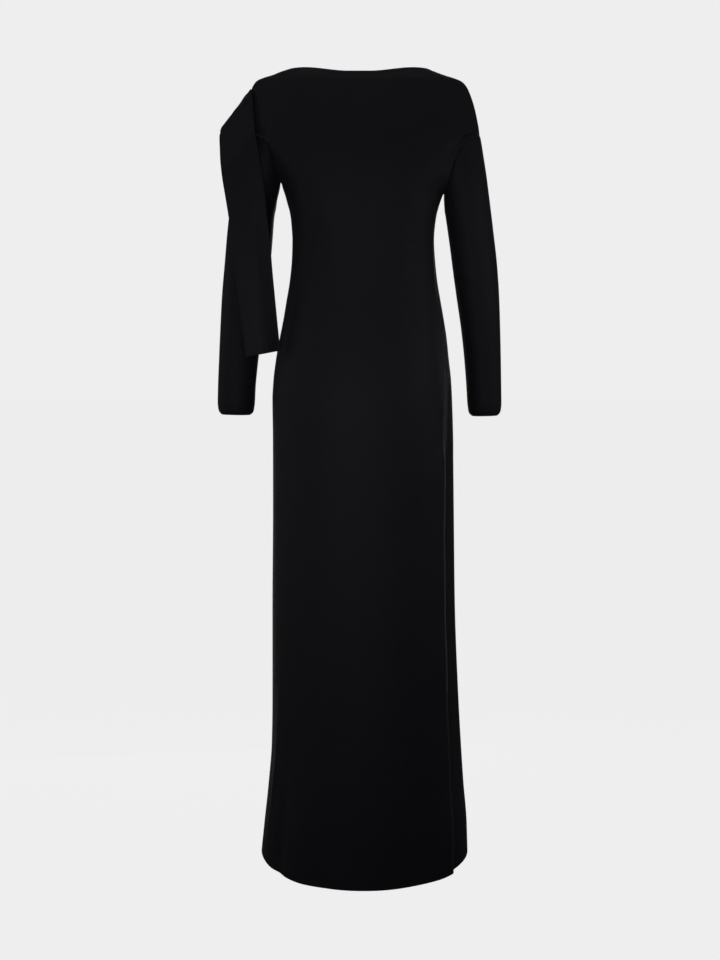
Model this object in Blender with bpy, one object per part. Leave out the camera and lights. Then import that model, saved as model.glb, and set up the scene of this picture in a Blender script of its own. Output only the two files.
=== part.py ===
"""A long-sleeved black maxi dress, filled out as if it were worn.

Five pieces of one cloth: a back panel and a front panel that run from the
neckline to the hem, two set-in sleeves, and a sash that crosses the chest,
folds over the left shoulder and hangs behind the left sleeve.

Frame: metres, +Z up, +X the wearer's right, +Y the wearer's front. The origin
lies midway between the two neck points of the shoulder line.

Every cross-section of the body is a closed ring, worked out from its two side
points and its depths to the back and to the front. The panels are the ring's
back and front halves. A sleeve is a row of oval rings that starts on the
armhole. Each piece is a wall of cloth WALL thick, and pieces meet with SEAM
between them.
"""

from math import acos, pi

import bmesh
import bpy
import numpy as np

WALL = 0.0015  # cloth as modelled
SEAM = 0.0003  # gap between sewn pieces
PANEL_COLUMNS = 20
SLEEVE_SIDES = 16  # twice the rows that lie on half an armhole
SASH_COLUMNS = 8

NECK_LEVEL = -0.0105  # centre back height of the neckline
SHOULDER_LEVEL = -0.105  # centre back height of the row that ends at the shoulder points
ARMPIT_LEVEL = -0.235  # centre back height of the row that ends at the armpits
HEM_LEVEL = -1.4495  # centre back height of the hem

SLIT_TOP = -0.665  # centre back height where the right side seam ends
SLIT_FREE = -0.695  # below this the two edges lie one behind the other
SLIT_LAPPED = -0.735  # below this the front runs its full lap under the back
SLIT_LAP = 0.016  # front edge's lap under the back
SLIT_LIFT = 0.0012  # how far the back's free edge stands out
SLIT_SINK = 0.0028  # how far the front sinks in under it
LAP_RISE = 0.003  # how much shorter the front is where it runs under the back

ARMHOLE_DEPTH = 0.052  # the armhole's reach to the back and to the front
CAP_FULL = 0.22  # how much fuller than an ellipse it is
# Armpit and shoulder point (x, z) of each armhole, and how far the seam bows
# towards the neck on its way up.
ARMHOLE = {
    "right": {"armpit": (0.1496, -0.2205), "shoulder": (0.2145, -0.1165), "bow": 0.0175},
    "left": {"armpit": (-0.1404, -0.2005), "shoulder": (-0.2150, -0.1165), "bow": 0.0260},
}

# Shoulder seam from the shoulder point (share 0) to the neck point (share 1).
SHOULDER_COLUMNS = ("share", "right_x", "right_z", "left_x", "left_z")
SHOULDER = (
    (0.00, 0.2145, -0.1165, -0.2150, -0.1165),
    (0.14, 0.2104, -0.0943, -0.2095, -0.0955),
    (0.27, 0.2061, -0.0731, -0.2045, -0.0745),
    (0.36, 0.2023, -0.0590, -0.2000, -0.0605),
    (0.46, 0.1967, -0.0431, -0.1940, -0.0450),
    (0.54, 0.1912, -0.0310, -0.1890, -0.0335),
    (0.62, 0.1822, -0.0212, -0.1812, -0.0240),
    (0.70, 0.1700, -0.0158, -0.1700, -0.0178),
    (0.82, 0.1515, -0.0107, -0.1540, -0.0115),
    (0.91, 0.1358, -0.0055, -0.1405, -0.0055),
    (1.00, 0.1210, 0.0000, -0.1235, 0.0000),
)

# Side outline of the dress seen square on.
OUTLINE_COLUMNS = ("height", "left", "right")
OUTLINE = (
    (-1.4085, -0.1792, 0.1962),
    (-1.3535, -0.1736, 0.1946),
    (-1.2795, -0.1656, 0.1885),
    (-1.2065, -0.1598, 0.1836),
    (-1.1330, -0.1585, 0.1794),
    (-0.9505, -0.1580, 0.1720),
    (-0.7695, -0.1565, 0.1695),
    (-0.6615, -0.1564, 0.1680),
    (-0.5895, -0.1571, 0.1658),
    (-0.5535, -0.1552, 0.1639),
    (-0.5175, -0.1508, 0.1599),
    (-0.4785, -0.1439, 0.1558),
    (-0.4465, -0.1375, 0.1509),
    (-0.4105, -0.1314, 0.1445),
    (-0.3745, -0.1254, 0.1385),
    (-0.3395, -0.1219, 0.1349),
    (-0.3035, -0.1206, 0.1330),
    (-0.2680, -0.1227, 0.1360),
    (-0.2325, -0.1299, 0.1452),
    (-0.2005, -0.1404, 0.1600),
)

# Cross-sections, from the hem to the neckline, each named by its height at
# centre back. Below the armpits left_z and right_z give the heights of its two
# ends on the side seams; above them the ends lie on the armholes and then on
# the shoulder seams, and left_z and right_z aren't read. back and front are
# its depths, and a higher square makes it boxier.
SECTION_COLUMNS = (
    "level", "left_z", "right_z", "front_z", "back", "front", "square_back", "square_front",
)
SECTIONS = (
    (-1.4495, -1.4045, -1.4085, -1.3920, 0.1370, 0.1270, 2.22, 2.00),
    (-1.3700, -1.3350, -1.3380, -1.3270, 0.1340, 0.1250, 2.18, 2.02),
    (-1.2700, -1.2450, -1.2470, -1.2400, 0.1300, 0.1215, 2.14, 2.04),
    (-1.1500, -1.1350, -1.1360, -1.1320, 0.1265, 0.1175, 2.14, 2.08),
    (-1.0000, -0.9940, -0.9940, -0.9930, 0.1240, 0.1130, 2.15, 2.10),
    (-0.8500, -0.8480, -0.8480, -0.8480, 0.1230, 0.1100, 2.20, 2.12),
    (-0.7000, -0.7000, -0.7000, -0.7000, 0.1245, 0.1090, 2.22, 2.14),
    (-0.6000, -0.6000, -0.6000, -0.6000, 0.1250, 0.1085, 2.22, 2.15),
    (-0.5200, -0.5200, -0.5200, -0.5200, 0.1160, 0.1070, 2.20, 2.15),
    (-0.4400, -0.4400, -0.4400, -0.4400, 0.0985, 0.1040, 2.20, 2.15),
    (-0.3700, -0.3700, -0.3700, -0.3700, 0.0855, 0.1040, 2.24, 2.15),
    (-0.3200, -0.3200, -0.3200, -0.3180, 0.0835, 0.1090, 2.35, 2.20),
    (-0.2800, -0.2700, -0.2760, -0.2760, 0.0870, 0.1150, 2.60, 2.35),
    (-0.2550, -0.2310, -0.2450, -0.2500, 0.0905, 0.1175, 2.95, 2.60),
    (-0.2350, -0.2005, -0.2205, -0.2300, 0.0930, 0.1185, 3.30, 2.85),
    (-0.1900, -0.2005, -0.2205, -0.1860, 0.0965, 0.1175, 2.95, 2.60),
    (-0.1500, -0.2005, -0.2205, -0.1460, 0.0935, 0.1100, 2.50, 2.40),
    (-0.1050, -0.2005, -0.2205, -0.1020, 0.0860, 0.0980, 2.20, 2.20),
    (-0.0700, -0.2005, -0.2205, -0.0680, 0.0785, 0.0905, 2.20, 2.20),
    (-0.0370, -0.2005, -0.2205, -0.0390, 0.0690, 0.0820, 2.20, 2.20),
    (-0.0105, -0.2005, -0.2205, -0.0170, 0.0570, 0.0740, 2.20, 2.20),
)

# The side seam, and the slit below it, drift back from the right side.
SEAM_COLUMNS = ("level", "angle")
SIDE_SEAM = (
    (-1.4495, 0.575), (-1.2700, 0.545), (-1.1000, 0.525), (-0.9000, 0.505), (-0.7000, 0.480),
    (-0.6000, 0.440), (-0.5000, 0.340), (-0.4000, 0.200), (-0.3000, 0.060), (-0.2350, 0.000),
)

# Sleeve rings from the armhole down, as half-widths and depths seen square on:
# the inner and the outer point (x, z), the half-depth, how far the arm has
# swung forward, and how much of the armhole's bow is left.
RING_COLUMNS = ("inner_x", "inner_z", "outer_x", "outer_z", "depth", "forward", "bow")
SLEEVE_RIGHT = (
    (0.1496, -0.2205, 0.2145, -0.1165, 0.0520, 0.000, 1.00),
    (0.1502, -0.2330, 0.2196, -0.1480, 0.0515, 0.000, 0.55),
    (0.1515, -0.2490, 0.2256, -0.1850, 0.0500, 0.001, 0.20),
    (0.1552, -0.2740, 0.2315, -0.2280, 0.0475, 0.003, 0.00),
    (0.1608, -0.3110, 0.2392, -0.2870, 0.0450, 0.008, 0.00),
    (0.1672, -0.3580, 0.2464, -0.3460, 0.0425, 0.014, 0.00),
    (0.1745, -0.4080, 0.2507, -0.4000, 0.0400, 0.021, 0.00),
    (0.1825, -0.4600, 0.2532, -0.4540, 0.0380, 0.029, 0.00),
    (0.1890, -0.5160, 0.2552, -0.5110, 0.0355, 0.037, 0.00),
    (0.1932, -0.5660, 0.2565, -0.5630, 0.0335, 0.043, 0.00),
    (0.1955, -0.5990, 0.2572, -0.5970, 0.0320, 0.046, 0.00),
    (0.1985, -0.6135, 0.2548, -0.6120, 0.0295, 0.047, 0.00),
    (0.2045, -0.6195, 0.2495, -0.6185, 0.0250, 0.0475, 0.00),
)
SLEEVE_LEFT = (
    (-0.1404, -0.2005, -0.2150, -0.1165, 0.0520, 0.000, 1.00),
    (-0.1436, -0.2160, -0.2190, -0.1460, 0.0515, 0.000, 0.55),
    (-0.1480, -0.2350, -0.2235, -0.1810, 0.0500, 0.001, 0.20),
    (-0.1530, -0.2660, -0.2290, -0.2240, 0.0475, 0.003, 0.00),
    (-0.1565, -0.3080, -0.2368, -0.2850, 0.0450, 0.008, 0.00),
    (-0.1615, -0.3570, -0.2425, -0.3450, 0.0425, 0.014, 0.00),
    (-0.1690, -0.4080, -0.2478, -0.4000, 0.0400, 0.021, 0.00),
    (-0.1765, -0.4600, -0.2513, -0.4540, 0.0380, 0.029, 0.00),
    (-0.1833, -0.5160, -0.2545, -0.5110, 0.0355, 0.037, 0.00),
    (-0.1885, -0.5640, -0.2570, -0.5610, 0.0335, 0.043, 0.00),
    (-0.1905, -0.5970, -0.2580, -0.5950, 0.0320, 0.046, 0.00),
    (-0.1935, -0.6115, -0.2556, -0.6100, 0.0295, 0.047, 0.00),
    (-0.1995, -0.6175, -0.2503, -0.6165, 0.0250, 0.0475, 0.00),
)

# The sash. Its fold runs from FOLD_TOP, on the left shoulder, out to FOLD_TIP.
SASH_WIDTH = 0.070
SASH_CLEAR = 0.0020  # air between the sash and the panels under it
FOLD_TOP = (-0.1950, -0.0330)
FOLD_TIP = (-0.2522, -0.1100)
FOLD_RUN = 0.070  # how much further along the sash the fold's tip lies
ROLL_TOP = 0.036  # radius of the fold on the shoulder
ROLL_TIP = 0.012  # radius of the fold at its tip
ROLL_SPREAD = 0.055  # past the roll, the two sides spread apart over this distance
FRONT_SPREAD = 0.056  # how far in front of the arm's middle plane the sash comes over it
SASH_END_TOP = (0.1840, -0.0290)  # where the sash starts, at the right shoulder seam
SASH_END_LOW = (0.2075, -0.0980)
SASH_RISE = 0.009  # how much higher it runs at centre front
FRONT_STATIONS = 12
FOLD_STATIONS = 16
BACK_STATIONS = 13
# The part that hangs at the back: run along the sash from the fold's top, then
# the inner edge and the outer edge (x, z) with their distance behind the arm's
# middle plane, and how far the inner third curls forward.
HANG_COLUMNS = ("run", "inner_x", "inner_z", "inner_y", "outer_x", "outer_z", "outer_y", "curl")
HANG = (
    (0.000, -0.1930, -0.0345, 0.046, -0.2500, -0.0420, 0.050, 0.000),
    (0.070, -0.1858, -0.1040, 0.056, -0.2500, -0.1120, 0.052, 0.000),
    (0.110, -0.1795, -0.1440, 0.063, -0.2478, -0.1520, 0.055, 0.000),
    (0.155, -0.1722, -0.1880, 0.068, -0.2422, -0.1965, 0.058, 0.000),
    (0.190, -0.1668, -0.2240, 0.069, -0.2365, -0.2310, 0.060, 0.001),
    (0.230, -0.1628, -0.2640, 0.068, -0.2302, -0.2710, 0.062, 0.002),
    (0.280, -0.1575, -0.3140, 0.066, -0.2246, -0.3210, 0.064, 0.004),
    (0.330, -0.1535, -0.3640, 0.064, -0.2182, -0.3710, 0.066, 0.006),
    (0.380, -0.1490, -0.4130, 0.062, -0.2118, -0.4220, 0.068, 0.008),
    (0.430, -0.1443, -0.4630, 0.061, -0.2058, -0.4720, 0.070, 0.009),
    (0.467, -0.1405, -0.4995, 0.061, -0.2003, -0.5105, 0.071, 0.010),
)

CLOTH_COLOUR = (0.0065, 0.0062, 0.0078)
CLOTH_ROUGHNESS = 0.55


def slopes(x, y):
    """Slopes at each knot for a curve that never overshoots its knots."""
    h, d = np.diff(x), np.diff(y) / np.diff(x)
    m = np.zeros(len(x))
    m[0], m[-1] = d[0], d[-1]
    for i in range(1, len(x) - 1):
        if d[i - 1] * d[i] > 0:
            w1, w2 = 2 * h[i] + h[i - 1], h[i] + 2 * h[i - 1]
            m[i] = (w1 + w2) / (w1 / d[i - 1] + w2 / d[i])
    return m


class Table:
    """Rows with named columns, read between rows along a smooth curve."""

    def __init__(self, columns, rows):
        order = sorted(rows, key=lambda row: row[0])
        data = np.array(order, float)
        self.x = data[:, 0]
        self.columns = {name: data[:, i] for i, name in enumerate(columns) if i}
        self.m = {name: slopes(self.x, y) for name, y in self.columns.items()}

    def at(self, name, x):
        x = min(max(x, self.x[0]), self.x[-1])
        i = int(min(max(np.searchsorted(self.x, x) - 1, 0), len(self.x) - 2))
        h = self.x[i + 1] - self.x[i]
        t = (x - self.x[i]) / h
        y, m = self.columns[name], self.m[name]
        return (
            (1 + 2 * t) * (1 - t) ** 2 * y[i]
            + t * (1 - t) ** 2 * h * m[i]
            + t * t * (3 - 2 * t) * y[i + 1]
            + t * t * (t - 1) * h * m[i + 1]
        )


def smooth(t):
    t = min(max(t, 0.0), 1.0)
    return t * t * (3 - 2 * t)


def unit(v):
    return v / np.linalg.norm(v)


SECTION = Table(SECTION_COLUMNS, SECTIONS)
OUTLINES = Table(OUTLINE_COLUMNS, OUTLINE)
SHOULDERS = Table(SHOULDER_COLUMNS, SHOULDER)
SEAMS = Table(SEAM_COLUMNS, SIDE_SEAM)
HANGING = Table(HANG_COLUMNS, HANG)


def oval(inner, outer, depth, bow, side, turn, forward=0.0):
    """A point of a sleeve ring: turn 0 is the inner point, a quarter turn the back, a half turn the outer point."""
    inner, outer = np.array(inner), np.array(outer)
    along = unit(outer - inner)
    up = np.array((-along[1], along[0])) if side == "right" else np.array((along[1], -along[0]))
    share = (1 - np.cos(turn)) / 2
    flat = inner + (outer - inner) * share + up * bow * np.sin(pi * share**1.5)
    full = 1 - CAP_FULL * min(bow / 0.0175, 1.0)  # the armhole is fuller than an ellipse
    reach = np.sign(np.sin(turn)) * abs(np.sin(turn)) ** full
    return np.array((flat[0], forward - depth * reach, flat[1]))


def armhole(side, turn):
    a = ARMHOLE[side]
    return oval(a["armpit"], a["shoulder"], ARMHOLE_DEPTH, a["bow"], side, turn)


def row_ends(level):
    """(left end, right end) of a row as x, z, and how deep behind the side line they lie."""
    if level <= ARMPIT_LEVEL:
        zl, zr = SECTION.at("left_z", level), SECTION.at("right_z", level)
        left = (OUTLINES.at("left", zl), zl)
        right = (OUTLINES.at("right", zr), zr)
        if level > SECTIONS[-9][0]:
            # Just under the arms the right outline ends at its own armpit.
            share = smooth((level - SECTIONS[-9][0]) / (ARMPIT_LEVEL - SECTIONS[-9][0]))
            right = (right[0] + share * (ARMHOLE["right"]["armpit"][0] - OUTLINES.at("right", ARMHOLE["right"]["armpit"][1])), zr)
        return left, right, 0.0
    if level <= SHOULDER_LEVEL:
        turn = pi * (level - ARMPIT_LEVEL) / (SHOULDER_LEVEL - ARMPIT_LEVEL)
        left, right = armhole("left", turn), armhole("right", turn)
        return (left[0], left[2]), (right[0], right[2]), max(-left[1], 0.0)
    share = (level - SHOULDER_LEVEL) / (NECK_LEVEL - SHOULDER_LEVEL)
    at = SHOULDERS.at
    return (at("left_x", share), at("left_z", share)), (at("right_x", share), at("right_z", share)), 0.0


def ring(level, angle):
    """A point of the body's ring: angle 0 is the right side, a quarter turn centre back, a half turn the left side."""
    back = np.sin(angle) >= 0
    left, right, end_depth = row_ends(level)
    depth = SECTION.at("back" if back else "front", level)
    square = SECTION.at("square_back" if back else "square_front", level)
    centre_z = level if back else SECTION.at("front_z", level)
    cut = (1 - (end_depth / depth) ** 2) ** (1 / square)  # how much of the full oval the armholes leave
    half = (right[0] - left[0]) / 2 / cut
    middle = (right[0] + left[0]) / 2
    across = np.cos(angle)
    share = min(max(across / cut, -1.0), 1.0)
    reach = depth * np.sqrt(max(1 - abs(across) ** square, 0.0))
    end_z = left[1] + (right[1] - left[1]) * (share + 1) / 2
    weight = (reach - end_depth) / (depth - end_depth)
    dip = (smooth(1 - abs(share)) + 1 - abs(share)) / 2  # the neckline dips evenly
    weight += smooth((level + 0.05) / (NECK_LEVEL + 0.05)) * (dip - weight)
    z = end_z + (centre_z - end_z) * max(weight, 0.0)
    return np.array((middle + half * across, -reach if back else reach, z))


def end_angle(level, front=False):
    """The angle at which a row meets the armhole."""
    end_depth = row_ends(level)[2]
    if end_depth <= 0:
        return 0.0
    depth = SECTION.at("front" if front else "back", level)
    square = SECTION.at("square_front" if front else "square_back", level)
    return acos((1 - (end_depth / depth) ** 2) ** (1 / square))


def ring_outward(level, angle):
    """The level direction that points straight out of the body's ring."""
    left, right, _ = row_ends(level)
    depth = SECTION.at("back" if np.sin(angle) >= 0 else "front", level)
    return unit(np.array((np.cos(angle) * 2 / (right[0] - left[0]), -np.sin(angle) / depth, 0.0)))


def grid_normals(points, outward, closed=False):
    """A normal at each point of a grid, averaged from the faces round it and turned to the side of outward."""
    rows, columns = points.shape[:2]
    ahead = np.roll(points, -1, axis=1) if closed else points[:, 1:]
    here = points if closed else points[:, :-1]
    faces = np.cross(ahead[1:] - here[:-1], here[1:] - ahead[:-1])
    normals = np.zeros_like(points)
    spans = columns if closed else columns - 1
    for i in range(rows - 1):
        for j in range(spans):
            for a, b in ((i, j), (i + 1, j), (i, (j + 1) % columns), (i + 1, (j + 1) % columns)):
                normals[a, b] += faces[i, j]
    normals /= np.linalg.norm(normals, axis=2, keepdims=True)
    return normals if (normals * outward).sum() > 0 else -normals


def panel_levels():
    """Centre back heights of the panels' rows, hem first."""
    skirt = [HEM_LEVEL, -1.385, -1.31, -1.23, -1.14, -1.05, -0.96, -0.87, -0.79, SLIT_LAPPED, SLIT_FREE, SLIT_TOP]
    bodice = [-0.605, -0.55, -0.50, -0.45, -0.405, -0.36, -0.325, -0.29, -0.26, ARMPIT_LEVEL]
    half = SLEEVE_SIDES // 2
    arm = [ARMPIT_LEVEL + (SHOULDER_LEVEL - ARMPIT_LEVEL) * k / half for k in range(1, half + 1)]
    yoke = [SHOULDER_LEVEL + (NECK_LEVEL - SHOULDER_LEVEL) * k / 6 for k in range(1, 7)]
    return skirt + bodice + arm + yoke


def slit_share(level, top, full):
    return smooth((top - level) / (top - full))


def panel_point(level, angle, front):
    """A point on a panel's outer face, with the slit's lapped edges."""
    seam = SEAMS.at("angle", level)
    open_share = slit_share(level, SLIT_TOP, SLIT_FREE)
    point = ring(level, angle)
    if open_share <= 0:
        return point
    if not front:
        near = smooth(1 - (angle - seam) / 0.22)
        return point + ring_outward(level, angle) * SLIT_LIFT * near * open_share
    past = angle - 2 * pi  # the front's columns end past the right side, at seam or under the back
    near = smooth((past + 0.10) / (seam + 0.05))
    rise = LAP_RISE * near * smooth((-1.30 - level) / 0.14)
    return point - ring_outward(level, angle) * SLIT_SINK * near * open_share + np.array((0.0, 0.0, rise))


def panel(front):
    """A panel's points, rows from the hem up, columns along the body's ring."""
    points = []
    for level in panel_levels():
        end = end_angle(level, front)
        seam = SEAMS.at("angle", level) if level < ARMPIT_LEVEL else 0.0
        reach = np.linalg.norm(ring(level, seam + end + 0.02) - ring(level, seam + end)) / 0.02
        gap = SEAM / 2 / max(reach, 0.05)  # half the seam's gap, as an angle
        if front:
            lap = SLIT_LAP / 0.15 * slit_share(level, SLIT_FREE, SLIT_LAPPED)
            low, high = pi + end + gap, 2 * pi - end + seam + (lap or -gap)
        else:
            low, high = max(end, seam) + gap, pi - end - gap
        points.append([panel_point(level, a, front) for a in np.linspace(low, high, PANEL_COLUMNS + 1)])
    return np.array(points)


def panels():
    """(points, normals) of the back and of the front, which share their normals where they are sewn."""
    back, front = panel(False), panel(True)
    axis = np.array((0.0, 0.01, 0.0))
    back_n = grid_normals(back, (back - axis) * (1, 1, 0))
    front_n = grid_normals(front, (front - axis) * (1, 1, 0))
    for i, level in enumerate(panel_levels()):
        for j, k in ((0, -1), (-1, 0)):
            if np.linalg.norm(back[i, j] - front[i, k]) < 2 * SEAM:
                back_n[i, j] = front_n[i, k] = unit(back_n[i, j] + front_n[i, k])
    return (back, back_n), (front, front_n)


def sleeve(side):
    """(points, normals) of a sleeve, rings from the armhole down."""
    rows = SLEEVE_RIGHT if side == "right" else SLEEVE_LEFT
    rings = []
    for row in rows:
        r = dict(zip(RING_COLUMNS, row))
        rings.append([
            oval(
                (r["inner_x"], r["inner_z"]), (r["outer_x"], r["outer_z"]), r["depth"],
                r["bow"] * ARMHOLE[side]["bow"], side, 2 * pi * k / SLEEVE_SIDES, r["forward"],
            )
            for k in range(SLEEVE_SIDES)
        ])
    points = np.array(rings)
    away = points[1] - points[0]
    points[0] += away / np.linalg.norm(away, axis=1, keepdims=True) * SEAM * 2.5
    return points, grid_normals(points, points - points.mean(axis=1, keepdims=True), closed=True)


def depth_at(x, z, front):
    """How far the body reaches back or forward at a place seen square on, falling to 0 off its edge."""
    level, angle = min(max(z, -0.22), NECK_LEVEL), 1.5 * pi if front else 0.5 * pi
    base = pi if front else 0.0
    for _ in range(25):
        end = end_angle(level, front)
        angle = min(max(angle, base + end), base + pi - end)
        p = ring(level, angle)
        ex, ez = x - p[0], z - p[2]
        if abs(ex) + abs(ez) < 1e-6:
            break
        pa = (ring(level, min(angle + 0.01, base + pi)) - ring(level, max(angle - 0.01, base))) / 0.02
        l0, l1 = max(level - 0.002, HEM_LEVEL), min(level + 0.002, NECK_LEVEL)
        pl = (ring(l1, angle) - ring(l0, angle)) / (l1 - l0)
        det = pa[0] * pl[2] - pa[2] * pl[0]
        if abs(det) < 1e-9:
            break
        angle += float(np.clip((ex * pl[2] - ez * pl[0]) / det, -0.3, 0.3))
        level = min(level + float(np.clip((pa[0] * ez - pa[2] * ex) / det, -0.03, 0.03)), NECK_LEVEL)
    p = ring(level, angle)
    return abs(p[1]) * (1 - smooth((abs(p[0] - x) - 0.002) / 0.030))


def blend_max(a, b, soft=0.006):
    """The larger of two depths, with a soft turn where they cross."""
    h = max(soft - abs(a - b), 0.0) / soft
    return max(a, b) + h * h * soft / 4


FOLD_ACROSS = SASH_WIDTH / np.hypot(SASH_WIDTH, FOLD_RUN)


def sash_point(run, across):
    """A point on the sash's outer face: run along it from the fold's top, across it from its upper, inner edge."""
    past = (run - FOLD_RUN * across) * FOLD_ACROSS  # signed distance from the fold
    near = abs(past)
    radius = ROLL_TOP + across * (ROLL_TIP - ROLL_TOP)
    turn = min(near / radius, pi / 2)
    reach = radius * (1 - np.cos(turn)) + max(near - radius * pi / 2, 0.0)  # seen square on
    spread = smooth((near - radius * 0.8) / ROLL_SPREAD)
    if past >= 0:
        seen = FOLD_RUN * across + reach / FOLD_ACROSS
        at = lambda name: HANGING.at(name, seen)
        inner = np.array((at("inner_x"), at("inner_z")))
        outer = np.array((at("outer_x"), at("outer_z")))
        flat = inner + across * (outer - inner)
        target = at("inner_y") + across * (at("outer_y") - at("inner_y"))
        target -= at("curl") * (1 - smooth(across / 0.4))
    else:
        fold = np.array(FOLD_TOP) + across * (np.array(FOLD_TIP) - np.array(FOLD_TOP))
        start = np.array(SASH_END_TOP) + across * (np.array(SASH_END_LOW) - np.array(SASH_END_TOP))
        whole = start[0] - fold[0]
        share = min(reach / FOLD_ACROSS / whole, 1.0)
        flat = fold + share * (start - fold) + np.array((0.0, SASH_RISE * np.sin(pi * share)))
        target = FRONT_SPREAD
        spread *= 1 - smooth((share * whole - 0.07) / 0.09)
        radius *= 1 - smooth((share * whole - 0.07) / 0.09)
    depth = radius * np.sin(turn) + (target - radius) * spread
    body = depth_at(flat[0], flat[1], past < 0)
    if past >= 0:
        body *= smooth((flat[1] + 0.17) / 0.05)  # further down it hangs clear, beside the body
    depth = blend_max(depth, body + (SASH_CLEAR + WALL) * 1.3)
    return np.array((flat[0], depth if past < 0 else -depth, flat[1]))


def sash():
    """(points, normals) of the sash, rows along it from the right shoulder."""
    top = SASH_END_TOP[0] - FOLD_TOP[0]
    low = SASH_END_LOW[0] - FOLD_TIP[0] - FOLD_RUN
    first = -0.035
    rows = []
    for k in range(FRONT_STATIONS):
        share = k / FRONT_STATIONS
        rows.append([
            (-(top + (low - top) * a)) * (1 - share) + first * share
            for a in np.linspace(0, 1, SASH_COLUMNS + 1)
        ])
    step = FOLD_RUN / SASH_COLUMNS
    for k in range(FOLD_STATIONS):
        rows.append([first + k * step] * (SASH_COLUMNS + 1))
    shares = np.linspace(0, 1, SASH_COLUMNS + 1)
    last = rows[-1][0]
    # Rounding the fold takes up some cloth, so the free end's run is longer than it looks.
    ends = [HANG[-1][0] + (ROLL_TOP + a * (ROLL_TIP - ROLL_TOP)) * (pi / 2 - 1) / FOLD_ACROSS for a in shares]
    for k in range(1, BACK_STATIONS + 1):
        rows.append([last + (end - last) * k / BACK_STATIONS for end in ends])
    points = np.array([[sash_point(run, a) for run, a in zip(row, shares)] for row in rows])
    outward = np.zeros_like(points)
    outward[-4:, :, 1] = -1
    return points, grid_normals(points, outward)


def wall_object(name, points, normals, material, closed=False, slanted=False):
    """A wall of cloth WALL thick under a grid of points, with its rims closed.

    Each cell is split along its shorter diagonal, or with slanted along the one the sash folds on.
    """
    rows, columns = points.shape[:2]
    bm = bmesh.new()
    outer = [[bm.verts.new(p) for p in row] for row in points]
    inner = [[bm.verts.new(p) for p in row] for row in points - normals * WALL]
    spans = columns if closed else columns - 1

    def quad(a, b, c, d, short):
        faces = ((a, b, c), (a, c, d)) if short else ((a, b, d), (b, c, d))
        for face in faces:
            bm.faces.new(face)

    for i in range(rows - 1):
        for j in range(spans):
            k = (j + 1) % columns
            p = points
            short = slanted or np.linalg.norm(p[i, j] - p[i + 1, k]) <= np.linalg.norm(p[i, k] - p[i + 1, j])
            quad(outer[i][j], outer[i][k], outer[i + 1][k], outer[i + 1][j], short)
            quad(inner[i][k], inner[i][j], inner[i + 1][j], inner[i + 1][k], not short)
    for i in (0, rows - 1):
        for j in range(spans):
            k = (j + 1) % columns
            a, b = (j, k) if i else (k, j)
            quad(outer[i][a], outer[i][b], inner[i][b], inner[i][a], True)
    if not closed:
        for j in (0, columns - 1):
            for i in range(rows - 1):
                a, b = (i + 1, i) if j else (i, i + 1)
                quad(outer[a][j], outer[b][j], inner[b][j], inner[a][j], True)
    if bm.calc_volume(signed=True) < 0:
        bmesh.ops.reverse_faces(bm, faces=bm.faces[:])
    mesh = bpy.data.meshes.new(name)
    bm.to_mesh(mesh)
    bm.free()
    mesh.materials.append(material)
    mesh.shade_smooth()
    mesh.set_sharp_from_angle(angle=0.9)
    found = bpy.data.objects.new(name, mesh)
    bpy.context.scene.collection.objects.link(found)
    return found


def cloth(name):
    material = bpy.data.materials.new(name)
    material.use_nodes = True
    shader = material.node_tree.nodes["Principled BSDF"]
    shader.inputs["Base Color"].default_value = (*CLOTH_COLOUR, 1.0)
    shader.inputs["Roughness"].default_value = CLOTH_ROUGHNESS
    shader.inputs["Metallic"].default_value = 0.0
    return material


def main():
    for found in list(bpy.data.objects):
        bpy.data.objects.remove(found, do_unlink=True)
    back, front = panels()
    wall_object("back_panel", *back, cloth("back_cloth"))
    wall_object("front_panel", *front, cloth("front_cloth"))
    wall_object("sleeve_right", *sleeve("right"), cloth("sleeve_right_cloth"), closed=True)
    wall_object("sleeve_left", *sleeve("left"), cloth("sleeve_left_cloth"), closed=True)
    wall_object("shoulder_sash", *sash(), cloth("sash_cloth"), slanted=True)


main()
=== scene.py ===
"""The looks of a long-sleeved black maxi dress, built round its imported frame.

Each CAD wall of cloth is replaced by a thin shell on the same form, with finer
shape: turned and stitched edges, sewn seams, soft folds and creases, and a
close-knit crepe. Frame: metres, +Z up, +X the wearer's right, +Y the wearer's
front, origin midway between the neck points.
"""

from math import pi

import bpy
import numpy as np
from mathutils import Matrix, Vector


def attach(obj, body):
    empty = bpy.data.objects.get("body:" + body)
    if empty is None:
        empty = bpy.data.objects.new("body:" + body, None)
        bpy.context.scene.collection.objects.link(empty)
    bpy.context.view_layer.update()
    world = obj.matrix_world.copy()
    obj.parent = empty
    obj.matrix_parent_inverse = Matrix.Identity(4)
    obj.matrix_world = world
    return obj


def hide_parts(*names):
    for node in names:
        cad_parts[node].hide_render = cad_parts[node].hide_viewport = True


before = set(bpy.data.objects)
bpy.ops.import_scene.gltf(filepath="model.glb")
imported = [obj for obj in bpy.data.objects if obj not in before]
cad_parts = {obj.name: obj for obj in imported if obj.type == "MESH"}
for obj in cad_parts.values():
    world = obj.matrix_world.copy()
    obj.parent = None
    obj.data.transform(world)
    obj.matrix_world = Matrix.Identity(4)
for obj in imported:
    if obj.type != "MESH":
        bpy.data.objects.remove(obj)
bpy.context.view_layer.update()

# ---------------------------------------------------------------- the dress's own sizes, as in the CAD

SEAM = 0.0003

NECK_LEVEL = -0.0105
SHOULDER_LEVEL = -0.105
ARMPIT_LEVEL = -0.235
HEM_LEVEL = -1.4495

SLIT_TOP = -0.665
SLIT_FREE = -0.695
SLIT_LAPPED = -0.735
SLIT_LAP = 0.016
SLIT_LIFT = 0.0012
SLIT_SINK = 0.0028
LAP_RISE = 0.003

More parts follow.
